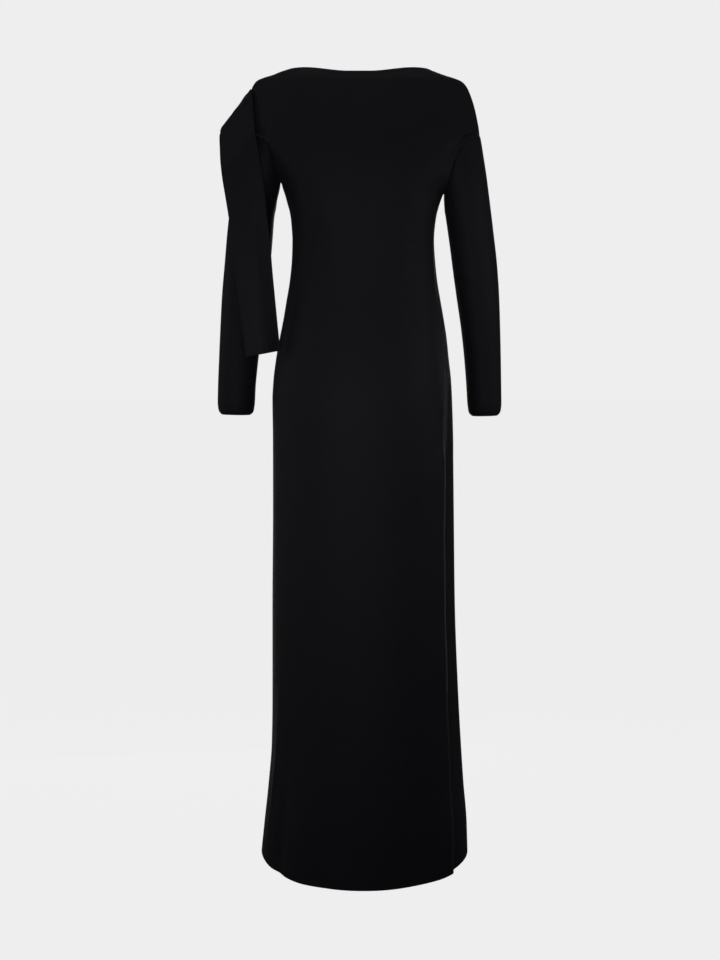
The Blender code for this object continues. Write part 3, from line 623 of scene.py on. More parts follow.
def shell(name, surface, normals, half_out, half_in, material, closed=False):
    """A closed thin shell round a grid: out by half_out along the normals and in by half_in."""
    outer = surface + normals * half_out[..., None]
    inner = surface - normals * half_in[..., None]
    rows, columns = surface.shape[:2]
    u, v = lengths(surface, 1), lengths(surface, 0)
    v = np.repeat(np.median(v, axis=1)[:, None], columns, axis=1)
    u = u - u[:, columns // 2][:, None]
    span = columns if closed else columns - 1
    i, j = np.meshgrid(np.arange(rows - 1), np.arange(span), indexing="ij")
    k = (j + 1) % columns
    n = rows * columns
    faces = np.stack((i * columns + j, i * columns + k, (i + 1) * columns + k, (i + 1) * columns + j), axis=-1).reshape(-1, 4)
    if closed:  # the last column's cells end one cell on, not back at the start
        last_u = u[:, -1] + np.linalg.norm(surface[:, 0] - surface[:, -1], axis=1)
    uu = u[i, k].copy()
    uu2 = u[i + 1, k].copy()
    if closed:
        uu[:, -1] = last_u[:-1]
        uu2[:, -1] = last_u[1:]
    corner = np.stack((u[i, j], v[i, j], uu, v[i, k], uu2, v[i + 1, k], u[i + 1, j], v[i + 1, j]), axis=-1).reshape(-1, 4, 2)
    parts, coords = [faces, faces[:, ::-1] + n], [corner, corner[:, ::-1]]

    def strip(a, b):
        """Quads that join the outer line a to the inner line below it."""
        q = np.stack((b, a, a + n, b + n), axis=-1)
        parts.append(q)
        flat_u, flat_v = u.ravel(), v.ravel()
        coords.append(np.stack((flat_u[q % n], flat_v[q % n]), axis=-1))

    jj = np.arange(span)
    strip(jj, (jj + 1) % columns)
    top = (rows - 1) * columns
    strip(top + (jj + 1) % columns, top + jj)
    if not closed:
        ii = np.arange(rows - 1) * columns
        strip(ii + columns, ii)
        strip(ii + columns - 1, ii + 2 * columns - 1)
    vertices = np.concatenate((outer.reshape(-1, 3), inner.reshape(-1, 3)))
    faces, uvs = np.concatenate(parts), np.concatenate(coords)
    # Faces point out: the outer grid's own normals decide which way round they go.
    a, b, c = (vertices[faces[: len(parts[0]), m]] for m in (0, 1, 3))
    if (np.cross(b - a, c - a) * np.repeat(normals[:-1, :span].reshape(-1, 3), 1, axis=0)).sum() < 0:
        faces, uvs = faces[:, ::-1], uvs[:, ::-1]
    return mesh_object(name, vertices, faces, uvs, material), outer


def stitches(name, paths, material):
    """Short threads along each path. A path is (points, normals) along a line on the cloth."""
    sides = 6
    stations = np.array((-0.5, -0.32, 0.0, 0.32, 0.5))
    fat = np.array((0.25, 0.85, 1.0, 0.85, 0.25)) * STITCH_THICK / 2
    high = np.array((-0.9, 0.35, 0.8, 0.35, -0.9)) * STITCH_THICK / 2
    around = np.arange(sides) * 2 * pi / sides
    vertices, faces, count = [], [], 0
    ring_count = len(stations)
    for points, normals in paths:
        run = np.concatenate(([0.0], np.cumsum(np.linalg.norm(np.diff(points, axis=0), axis=1))))
        centres = np.arange(STITCH_PITCH, run[-1] - STITCH_PITCH, STITCH_PITCH)
        take = lambda data, at: np.stack([np.interp(at, run, data[:, c]) for c in range(3)], axis=-1)
        for centre in centres:
            at = centre + stations * STITCH_LONG
            spine, up = take(points, at), unit(take(normals, at))
            ahead = unit(spine[-1] - spine[0])
            spine = spine + up * high[:, None]
            side = unit(np.cross(ahead, up))
            loops = (
                spine[:, None, :]
                + side[:, None, :] * (np.cos(around)[None, :, None] * fat[:, None, None])
                + up[:, None, :] * (np.sin(around)[None, :, None] * fat[:, None, None])
            )
            vertices.append(loops.reshape(-1, 3))
            for r in range(ring_count - 1):
                for s in range(sides):
                    t = (s + 1) % sides
                    faces.append((count + r * sides + s, count + r * sides + t, count + (r + 1) * sides + t, count + (r + 1) * sides + s))
            for base, order in ((0, (0, 1, 2, 3)), (0, (0, 3, 4, 5)), (ring_count - 1, (3, 2, 1, 0)), (ring_count - 1, (5, 4, 3, 0))):
                faces.append(tuple(count + base * sides + o for o in order))
            count += ring_count * sides
    made = mesh_object(name, np.concatenate(vertices), np.array(faces, dtype=np.int32)[:, ::-1], None, material)
    return made


def line_at(surface, normals, distance, value, axis):
    """The line on a grid where distance, which grows along axis, first reaches value."""
    d = distance if axis == 0 else distance.T
    s = surface if axis == 0 else surface.transpose(1, 0, 2)
    n = normals if axis == 0 else normals.transpose(1, 0, 2)
    points, ups = [], []
    for c in range(d.shape[1]):
        r = int(np.clip(np.searchsorted(d[:, c], value), 1, d.shape[0] - 1))
        t = (value - d[r - 1, c]) / max(d[r, c] - d[r - 1, c], 1e-9)
        points.append(s[r - 1, c] + t * (s[r, c] - s[r - 1, c]))
        ups.append(n[r, c])
    return np.array(points), np.array(ups)


# ---------------------------------------------------------------- materials


def crepe(name, tone, seed):
    """Black close-knit crepe with a soft, slightly silky face. tone is its colour."""
    material = bpy.data.materials.new(name)
    material.use_nodes = True
    tree = material.node_tree
    nodes, links = tree.nodes, tree.links
    shader = nodes["Principled BSDF"]
    uv = nodes.new("ShaderNodeUVMap")
    uv.uv_map = "cloth"
    place = nodes.new("ShaderNodeTexCoord")

    def wave(scale, direction, distortion):
        w = nodes.new("ShaderNodeTexWave")
        w.wave_type, w.bands_direction, w.wave_profile = "BANDS", direction, "SIN"
        w.inputs["Scale"].default_value = scale
        w.inputs["Distortion"].default_value = distortion
        w.inputs["Detail"].default_value = 1.0
        w.inputs["Detail Scale"].default_value = 2.0
        links.new(uv.outputs["UV"], w.inputs["Vector"])
        return w.outputs["Fac"]

    def noise(scale, detail, source):
        t = nodes.new("ShaderNodeTexNoise")
        t.inputs["Scale"].default_value = scale
        t.inputs["Detail"].default_value = detail
        t.inputs["Roughness"].default_value = 0.55
        links.new(source, t.inputs["Vector"])
        return t.outputs["Fac"]

    def math(kind, a, b):
        m = nodes.new("ShaderNodeMath")
        m.operation = kind
        for socket, value in zip(m.inputs, (a, b)):
            if isinstance(value, (int, float)):
                socket.default_value = value
            else:
                links.new(value, socket)
        return m.outputs[0]

    # Fine ribs of the knit, crossed by shorter courses, and the crepe's pebble over both.
    ribs = wave(430.0, "X", 0.6)
    courses = wave(520.0, "Y", 0.9)
    pebble = noise(1250.0 + seed, 2.0, uv.outputs["UV"])
    slub = noise(90.0 + seed, 3.0, place.outputs["Object"])
    broad = noise(7.0 + 0.3 * seed, 2.0, place.outputs["Object"])
    knit = math("ADD", math("MULTIPLY", ribs, 0.5), math("MULTIPLY", courses, 0.28))
    height = math("ADD", knit, math("MULTIPLY", pebble, 0.9))

    bump = nodes.new("ShaderNodeBump")
    bump.inputs["Strength"].default_value = 0.35
    bump.inputs["Distance"].default_value = 0.00012
    links.new(height, bump.inputs["Height"])
    links.new(bump.outputs["Normal"], shader.inputs["Normal"])

    # Painted shade darkens the knit's grooves, and the dye varies a little over the cloth.
    groove_shade_and_dye = math("ADD", math("MULTIPLY", height, 0.22), math("MULTIPLY", slub, 0.35))
    groove_shade_and_dye = math("ADD", groove_shade_and_dye, math("MULTIPLY", broad, 0.35))
    ramp = nodes.new("ShaderNodeValToRGB")
    ramp.color_ramp.elements[0].position = 0.25
    ramp.color_ramp.elements[1].position = 0.85
    ramp.color_ramp.elements[0].color = (*[c * 0.80 for c in tone], 1.0)
    ramp.color_ramp.elements[1].color = (*[c * 1.20 for c in tone], 1.0)
    links.new(groove_shade_and_dye, ramp.inputs["Fac"])
    links.new(ramp.outputs["Color"], shader.inputs["Base Color"])

    rough = math("ADD", math("MULTIPLY", slub, 0.10), ROUGH - 0.05)
    links.new(rough, shader.inputs["Roughness"])
    shader.inputs["Metallic"].default_value = 0.0
    shader.inputs["Specular IOR Level"].default_value = GLOSS
    shader.inputs["Sheen Weight"].default_value = SHEEN
    shader.inputs["Sheen Roughness"].default_value = 0.45
    shader.inputs["Sheen Tint"].default_value = (0.92, 0.88, 1.0, 1.0)
    return material


def thread(name):
    """Spun black thread, its twist running across it."""
    material = bpy.data.materials.new(name)
    material.use_nodes = True
    tree = material.node_tree
    shader = tree.nodes["Principled BSDF"]
    place = tree.nodes.new("ShaderNodeTexCoord")
    twist = tree.nodes.new("ShaderNodeTexNoise")
    twist.inputs["Scale"].default_value = 2600.0
    twist.inputs["Detail"].default_value = 1.0
    tree.links.new(place.outputs["Object"], twist.inputs["Vector"])
    ramp = tree.nodes.new("ShaderNodeValToRGB")
    ramp.color_ramp.elements[0].color = (0.0032, 0.0030, 0.0036, 1.0)
    ramp.color_ramp.elements[1].color = (0.0075, 0.0070, 0.0082, 1.0)
    tree.links.new(twist.outputs["Fac"], ramp.inputs["Fac"])
    tree.links.new(ramp.outputs["Color"], shader.inputs["Base Color"])
    bump = tree.nodes.new("ShaderNodeBump")
    bump.inputs["Strength"].default_value = 0.4
    bump.inputs["Distance"].default_value = 0.00008
    tree.links.new(twist.outputs["Fac"], bump.inputs["Height"])
    tree.links.new(bump.outputs["Normal"], shader.inputs["Normal"])
    shader.inputs["Roughness"].default_value = 0.5
    shader.inputs["Specular IOR Level"].default_value = 0.12
    return material


TONE = (0.0066, 0.0060, 0.0079)
ROUGH = 0.60
GLOSS = 0.06
SHEEN = 0.015
# How much paler than TONE each painted-highlight copy of the crepe is.
PAINTED_HIGHLIGHT_TONES = (1.35, 1.8, 2.5, 3.6, 6.6)


# ---------------------------------------------------------------- the pieces


def panel_levels():
    """Levels of a panel's rows, hem first: close together at the edges and round the arms."""
    fine_hem = HEM_LEVEL + np.concatenate((EDGE, (0.0125, 0.0160, 0.0195, 0.0220, 0.0235, 0.0246, 0.0257, 0.0270, 0.0290, 0.0320, 0.0360)))
    fine_neck = NECK_LEVEL - np.concatenate((EDGE, (0.0100, 0.0108, 0.0118, 0.0135, 0.0155)))[::-1]
    runs = [fine_hem]
    for start, stop, step in (
        (fine_hem[-1], SLIT_TOP, 0.0064),
        (SLIT_TOP, -0.450, 0.0052),
        (-0.450, -0.270, 0.0038),
        (-0.270, ARMPIT_LEVEL, 0.0027),
        (ARMPIT_LEVEL, -0.130, 0.0026),
        (-0.130, SHOULDER_LEVEL, 0.0018),
        (SHOULDER_LEVEL, -0.090, 0.0018),
        (-0.090, fine_neck[0], 0.0026),
    ):
        runs.append(placed(start, stop, step)[(1 if start == fine_hem[-1] else 0):])
    runs.append(fine_neck)
    return np.concatenate(runs)


def panel(front, columns):
    """(outer face, levels, angles) of a panel's fine grid."""
    levels = panel_levels()
    end = end_angle(levels, front)
    seam = np.where(levels < ARMPIT_LEVEL, SEAMS.at("angle", levels), 0.0)
    reach = np.linalg.norm(ring(levels, seam + end + 0.02) - ring(levels, seam + end), axis=1) / 0.02
    gap = SEAM_SHUT / np.maximum(reach, 0.05)
    if front:
        lap = SLIT_LAP / 0.15 * slit_share(levels, SLIT_FREE, SLIT_LAPPED)
        low, high = pi + end + gap, 2 * pi - end + seam + np.where(lap > 0, lap, -gap)
    else:
        low, high = np.maximum(end, seam) + gap, pi - end - gap
    dense = np.linspace(0, 1, 321)
    angles = low[:, None] + (high - low)[:, None] * dense
    arcs = lengths(ring(levels[:, None], angles), 1)
    total = arcs[:, -1]
    middle = np.linspace(0, 1, columns - 2 * (len(SIDE_EDGE) - 1))[1:-1]
    inner = SIDE_EDGE[-1] + (total - 2 * SIDE_EDGE[-1])[:, None] * middle
    wanted = np.concatenate((np.repeat(SIDE_EDGE[None], len(levels), 0), inner, total[:, None] - SIDE_EDGE[::-1]), axis=1)
    chosen = np.stack([np.interp(w, a, t) for w, a, t in zip(wanted, arcs, angles)])
    return panel_point(levels[:, None], chosen, front), levels, chosen


def eased(base):
    """A panel's grid with the bends between its levels softened square to the cloth, away from its edges."""
    start = base
    base = base.copy()
    across = lengths(base, 1)
    from_side = np.minimum(across, across[:, -1:] - across)
    z = base[..., 2]
    normals = grid_normals(base, (base - (0.0, 0.01, 0.0)) * (1, 1, 0), rounds=6)
    weight = smooth((from_side - 0.0015) / 0.016) * smooth((z + 0.42) / 0.08) * smooth((-0.022 - z) / 0.02)
    gaps = np.linalg.norm(np.diff(base, axis=0), axis=2)
    below, above = gaps[:-1], gaps[1:]
    share = (below / (below + above))[..., None]
    for _ in range(420):
        between = base[:-2] * (1 - share) + base[2:] * share
        off = ((between - base[1:-1]) * normals[1:-1]).sum(axis=2)
        base[1:-1] += normals[1:-1] * (0.5 * weight[1:-1] * off)[..., None]
    # The sides, which make the outline, stay where they are.
    moved = ((base - start) * normals).sum(axis=2) * smooth(np.abs(normals[..., 1]) / 0.7)
    return start + normals * (0.006 * np.tanh(moved / 0.006))[..., None]


# Painted highlight over the right hip, beside the side seam: (level, how wide, how much
# paler at the seam) on each panel. Below the slit's top it is the slit's edge.
HIP_HIGHLIGHT = {
    "back": (
        (-0.620, 0.000, 3.4),
        (-0.585, 0.016, 3.2),
        (-0.555, 0.026, 2.8),
        (-0.490, 0.034, 2.4),
        (-0.440, 0.034, 2.2),
        (-0.390, 0.030, 1.9),
        (-0.340, 0.020, 1.5),
        (-0.290, 0.010, 1.0),
    ),
    "front": (
        (-0.760, 0.004, 1.5),
        (-0.700, 0.008, 3.2),
        (-0.625, 0.013, 4.4),
        (-0.585, 0.020, 3.8),
        (-0.555, 0.026, 3.4),
        (-0.490, 0.028, 2.3),
        (-0.440, 0.026, 2.0),
        (-0.380, 0.022, 1.6),
        (-0.320, 0.016, 1.0),
    ),
}
# Painted highlight line down the slit's free edge: its width, then (level, how much paler).
SLIT_HIGHLIGHT_WIDTH = 0.0042
SLIT_HIGHLIGHT_LINE = ((-1.460, 2.2), (-1.200, 2.4), (-1.130, 4.2), (-1.060, 6.6), (-0.630, 6.6), (-0.600, 3.4))


def paint_highlights(made, front, levels, side, materials):
    """Paints highlight: faces over the right hip and down the slit's free edge get paler copies of the crepe, palest
    at the edge.
    """
    for material in materials:
        made.data.materials.append(material)
    middle = ((levels[:-1] + levels[1:]) / 2)[:, None]
    off = (side[:-1, :-1] + side[:-1, 1:]) / 2
    at, wide, most = np.array(HIP_HIGHLIGHT["front" if front else "back"]).T
    wide = np.interp(middle, at, wide, left=0.0, right=0.0)
    fade = smooth((1 - off / np.maximum(wide, 1e-6)) / (0.7 if front else 1.0))
    # How much paler each face is painted, as painted highlight.
    paler = 1 + (np.interp(middle, at, most) - 1) * fade
    if not front:
        line = np.interp(middle, *np.array(SLIT_HIGHLIGHT_LINE).T)
        paler = np.where((middle < SLIT_TOP + 0.055) & (off < SLIT_HIGHLIGHT_WIDTH), line, paler)
    tones = np.array((1.0,) + PAINTED_HIGHLIGHT_TONES)
    chosen = np.searchsorted(np.sqrt(tones[1:] * tones[:-1]), paler)
    index = np.zeros(len(made.data.polygons), dtype=np.int32)
    index[: chosen.size] = chosen.ravel()
    # The strip of faces down the first edge comes after both grids and both end strips.
    if not front:
        strip = 2 * chosen.size + 2 * off.shape[1]
        index[strip : strip + len(middle)] = chosen[:, 0]
    made.data.polygons.foreach_set("material_index", index)


def make_panel(name, front, columns, material):
    base, levels, angles = panel(front, columns)
    base = eased(base)
    axis = np.array((0.0, 0.01, 0.0))
    normals = grid_normals(base, (base - axis) * (1, 1, 0))
    level = np.repeat(levels[:, None], base.shape[1], axis=1)
    lift = body_relief(level, angles, base)
    down, across = lengths(base, 0), lengths(base, 1)
    from_hem, from_neck = down, down[-1] - down
    first, last = across, across[:, -1:] - across
    slit = last if front else first  # the side that ends on the slit
    open_rows = slit_share(level, SLIT_TOP, SLIT_FREE)
    # Sewn edges: the left side seam, the right one down to the slit, the shoulders and the armholes.
    rows_low = level <= ARMPIT_LEVEL
    rows_top = level >= SHOULDER_LEVEL
    left_side = first if front else last
    sewn = np.where(rows_low | rows_top, left_side, 1.0)
    sewn_right = np.where(rows_low | rows_top, slit, 1.0) + open_rows * 0.05
    lift += seam_dip(sewn) + seam_dip(sewn_right) * (1 - open_rows)
    turn = np.linspace(0, 2 * pi, 1441)[:-1]
    drawn, sink = np.ones(level.shape), np.zeros(base.shape)
    rows = np.where((base[..., 2] > -0.27).any(axis=1))[0]
    for side in ("right", "left"):
        loop = armhole(side, turn)
        distance, nearest = near_polyline(base[rows[0] :], loop)
        near = np.exp(-((distance / ARMHOLE_DRAWN) ** 2))
        drawn[rows[0] :] *= 1 - near
        deep = ARMHOLE_SINK * seam_shows(side, turn)[nearest]
        sink[rows[0] :] += armhole_inwards(loop)[nearest] * (near * deep)[..., None]
        lift[rows[0] :] -= 0.0006 * np.exp(-((distance / 0.009) ** 2))
    # The free edge over the slit stands off a little, waves as it falls, and turns in at its very edge.
    if not front:
        free = smooth(1 - (first - SLIT_CURL) / 0.040) * open_rows
        lift += free * (0.0024 + 0.0007 * np.sin(level * 17.0) + 0.0005 * np.sin(level * 41.0 + 1.0))
        lift -= 0.0010 * open_rows * np.clip(1 - first / SLIT_CURL, 0, 1) ** 2
    slit_edge = slit + (1 - open_rows) * 0.05
    lift += stitched(from_neck, NECK_BAND) + 0.5 * stitched(from_hem, HEM_BAND) + 0.6 * stitched(slit_edge, SLIT_BAND)
    surface = base + normals * ((lift - CLOTH / 2) * drawn)[..., None] + sink
    normals = grid_normals(surface, (surface - axis) * (1, 1, 0))
    thick = CLOTH + turned(from_neck, NECK_BAND) + turned(from_hem, HEM_BAND)
    thick = np.maximum(thick, CLOTH + turned(slit_edge, SLIT_BAND))
    edge = np.minimum.reduce((from_hem, from_neck, first, last))
    made, outer = shell(name, surface, normals, rim(edge, CLOTH), rim(edge, 2 * thick - CLOTH), material)
    # Painted highlights over the right hip and down the slit's free edge.
    paint_highlights(made, front, levels, slit, PAINTED_HIGHLIGHT_CREPES)
    paths = [
        line_at(outer, normals, from_hem, HEM_BAND - 0.0016, 0),
        line_at(outer[::-1], normals[::-1], from_neck[::-1], NECK_BAND - 0.0016, 0),
    ]
    rows = np.where((levels < SLIT_FREE - 0.01) & (levels > HEM_LEVEL + HEM_BAND))[0]
    if not front:
        paths.append(line_at(outer[rows], normals[rows], first[rows], SLIT_BAND - 0.0016, 1))
    return made, paths


def sleeve_grid(side, steps, columns):
    rows = SLEEVE_RIGHT if side == "right" else SLEEVE_LEFT
    table = Table(RING_COLUMNS, [(i, *row) for i, row in enumerate(rows)])
    dense = np.linspace(0, len(rows) - 1, 601)
    mid = np.stack([(table.at("inner_" + a, dense) + table.at("outer_" + a, dense)) / 2 for a in "xz"] + [table.at("forward", dense)], axis=-1)
    run = np.concatenate(([0.0], np.cumsum(np.linalg.norm(np.diff(mid, axis=0), axis=1))))
    total = run[-1]
    cuff = total - np.concatenate((EDGE, (0.0120, 0.0150, 0.0166, 0.0176, 0.0186, 0.0200, 0.0225, 0.0260)))[::-1]
    body = np.concatenate((EDGE[1:], np.linspace(EDGE[-1], cuff[0], steps)[1:-1]))
    step = np.interp(np.concatenate(([0.0], body, cuff)), run, dense)
    at = lambda n: table.at(n, step)[:, None]
    turn = np.arange(columns) * 2 * pi / columns
    base = oval(
        at("inner_x"), at("inner_z"), at("outer_x"), at("outer_z"), at("depth"),
        at("bow") * ARMHOLE[side]["bow"], side, turn[None, :], at("forward"),
    )
    return base, step, turn


def make_sleeve(name, side, steps, columns, material):
    base, step, turn = sleeve_grid(side, steps, columns)
    centre = base.mean(axis=1, keepdims=True)
    normals = grid_normals(base, base - centre, closed=True)
    down = lengths(base, 0)
    from_cuff = down[-1] - down
    near = np.exp(-((down / ARMHOLE_DRAWN) ** 2))
    sink = armhole_inwards(base[0])[None] * (near * ARMHOLE_SINK * seam_shows(side, turn))[..., None]
    lift = -0.0006 * np.exp(-((down / 0.009) ** 2))
    radius = np.linalg.norm(base - centre, axis=2)
    step_long = np.gradient(np.median(down, axis=1), step)[:, None]
    for step0, turn0, step1, turn1, rise, width in SLEEVE_CREASES[side]:
        mid_turn = (turn0 + turn1) / 2
        around = ((turn[None, :] - mid_turn + pi) % (2 * pi) - pi) * radius
        along = (step[:, None] - (step0 + step1) / 2) * step_long
        half_around = (turn1 - turn0) / 2 * radius.mean()
        half_along = (step1 - step0) / 2 * step_long
        share, off = along_line(around, along, -half_around, -half_along, half_around, half_along)
        bow = 0.004 * np.sin(pi * np.clip(share, 0, 1))
        lift = lift + rise * tapered(share) * np.exp(-(((off - bow) / width) ** 2))
    # The cuff's turned edge is a little firmer than the sleeve above it.
    lift = lift * np.clip(from_cuff / 0.03, 0.2, 1)
    lift = lift + stitched(from_cuff, CUFF_BAND)
    surface = base + normals * ((lift - CLOTH / 2) * (1 - near))[..., None] + sink
    normals = grid_normals(surface, surface - centre, closed=True)
    thick = CLOTH + turned(from_cuff, CUFF_BAND)
    edge = np.minimum(down, from_cuff)
    made, outer = shell(name, surface, normals, rim(edge, CLOTH), rim(edge, 2 * thick - CLOTH), material, closed=True)
    ring_points, ups = line_at(outer[::-1], normals[::-1], from_cuff[::-1], CUFF_BAND - 0.0016, 0)
    return made, [(np.concatenate((ring_points, ring_points[:2])), np.concatenate((ups, ups[:2])))]


def depth_at(x, z, front):
    """How far the body reaches back or forward at places seen square on, falling to 0 off its edge."""
    level = np.clip(z, -0.22, NECK_LEVEL)
    base = pi if front else 0.0
    angle = np.full(x.shape, base + pi / 2)
    for _ in range(30):
        end = end_angle(level, front)
        angle = np.clip(angle, base + end, base + pi - end)
        p = ring(level, angle)
        ex, ez = x - p[..., 0], z - p[..., 2]
        a0, a1 = np.maximum(angle - 0.01, base), np.minimum(angle + 0.01, base + pi)
        pa = (ring(level, a1) - ring(level, a0)) / 0.02
        l0, l1 = np.maximum(level - 0.002, HEM_LEVEL), np.minimum(level + 0.002, NECK_LEVEL)
        pl = (ring(l1, angle) - ring(l0, angle)) / (l1 - l0)[..., None]
        det = pa[..., 0] * pl[..., 2] - pa[..., 2] * pl[..., 0]
        live = (np.abs(ex) + np.abs(ez) > 1e-6) & (np.abs(det) > 1e-9)
        det = np.where(live, det, 1.0)
        angle = angle + np.where(live, np.clip((ex * pl[..., 2] - ez * pl[..., 0]) / det, -0.3, 0.3), 0)
        level = np.minimum(level + np.where(live, np.clip((pa[..., 0] * ez - pa[..., 2] * ex) / det, -0.03, 0.03), 0), NECK_LEVEL)
    p = ring(level, angle)
    return np.abs(p[..., 1]) * (1 - smooth((np.abs(p[..., 0] - x) - 0.002) / 0.030))


def blend_max(a, b, soft=0.006):
    h = np.maximum(soft - np.abs(a - b), 0.0) / soft
    return np.maximum(a, b) + h * h * soft / 4


FOLD_ACROSS = SASH_WIDTH / np.hypot(SASH_WIDTH, FOLD_RUN)


def sash_point(run, across):
    """Points of the sash's outer face: run along it from the fold's top, across it from its upper, inner edge."""
    past = (run - FOLD_RUN * across) * FOLD_ACROSS
    near = np.abs(past)
    radius = ROLL_TOP + across * (ROLL_TIP - ROLL_TOP)
    turn = np.minimum(near / radius, pi / 2)
    reach = radius * (1 - np.cos(turn)) + np.maximum(near - radius * pi / 2, 0.0)
    spread = smooth((near - radius * 0.8) / ROLL_SPREAD)
    behind = past >= 0
    seen = FOLD_RUN * across + reach / FOLD_ACROSS
    at = lambda name: HANGING.at(name, seen)
    back_x = at("inner_x") + across * (at("outer_x") - at("inner_x"))
    back_z = at("inner_z") + across * (at("outer_z") - at("inner_z"))
    back_y = at("inner_y") + across * (at("outer_y") - at("inner_y")) - at("curl") * (1 - smooth(across / 0.4))
    fold_x = FOLD_TOP[0] + across * (FOLD_TIP[0] - FOLD_TOP[0])
    fold_z = FOLD_TOP[1] + across * (FOLD_TIP[1] - FOLD_TOP[1])
    start_x = SASH_END_TOP[0] + across * (SASH_END_LOW[0] - SASH_END_TOP[0])
    start_z = SASH_END_TOP[1] + across * (SASH_END_LOW[1] - SASH_END_TOP[1])
    whole = start_x - fold_x
    share = np.minimum(reach / FOLD_ACROSS / whole, 1.0)
    front_x = fold_x + share * (start_x - fold_x)
    front_z = fold_z + share * (start_z - fold_z) + SASH_RISE * np.sin(pi * share)
    fade = 1 - smooth((share * whole - 0.07) / 0.09)
    target = np.where(behind, back_y, FRONT_SPREAD)
    x, z = np.where(behind, back_x, front_x), np.where(behind, back_z, front_z)
    spread = np.where(behind, spread, spread * fade)
    radius = np.where(behind, radius, radius * fade)
    depth = radius * np.sin(turn) + (target - radius) * spread
    body = np.where(behind, depth_at(x, z, False) * smooth((z + 0.17) / 0.05), depth_at(x, z, True))
    depth = blend_max(depth, body + (SASH_CLEAR + WALL) * 0.8, 0.004)
    return np.stack((x, np.where(behind, -depth, depth), z), axis=-1)


def folded(shares, count):
    """Rows of the sash round its fold, from its front layer over the shoulder to its back one."""
    side = np.interp(shares, FOLD_SHARES, FOLD_REACH) / FOLD_ACROSS
    at = lambda past: sash_point(FOLD_RUN * shares + past, shares)
    front, back = at(-side), at(side)
    chord = np.linalg.norm(back - front, axis=-1, keepdims=True)
    leaving, arriving = unit(front - at(-side - 0.006)), unit(at(side + 0.006) - back)
    # The curve is drawn full enough to reach the fold's line.
    along = unit(np.array((FOLD_TIP[0] - FOLD_TOP[0], 0.0, FOLD_TIP[1] - FOLD_TOP[1])))
    up = np.array((along[2], 0.0, -along[0]))
    line = np.array((FOLD_TOP[0], 0.0, FOLD_TOP[1])) + shares[:, None] * np.array(
        (FOLD_TIP[0] - FOLD_TOP[0], 0.0, FOLD_TIP[1] - FOLD_TOP[1])
    )
    wanted = ((line - (front + back) / 2) @ up)[:, None]
    given = chord / 8 * ((leaving - arriving) @ up)[:, None]
    chord = chord * np.clip(wanted / np.maximum(given, 1e-5), 0.3, 2.2)
    t = (np.arange(1, count) / count)[:, None, None]
    curve = (
        (1 + 2 * t) * (1 - t) ** 2 * front
        + t * (1 - t) ** 2 * chord * leaving
        + t * t * (3 - 2 * t) * back
        + t * t * (t - 1) * chord * arriving
    )
    return side, curve


def evened(points, weight, rounds):
    """A grid with its points drawn towards the middle of their neighbours where weight is over 0."""
    points = points.copy()
    for _ in range(rounds):
        mean = points.copy()
        mean[1:-1] = (points[:-2] + points[2:]) / 2
        mean[:, 1:-1] = mean[:, 1:-1] / 2 + (points[:, :-2] + points[:, 2:]) / 4
        points += (mean - points) * weight[..., None]
    return points


FOLD_SHARES = (0.0, 0.5, 0.8, 1.0)
FOLD_REACH = (0.021, 0.023, 0.017, 0.009)  # how far from its line the fold is drawn as one curve
FOLD_ROWS = 38


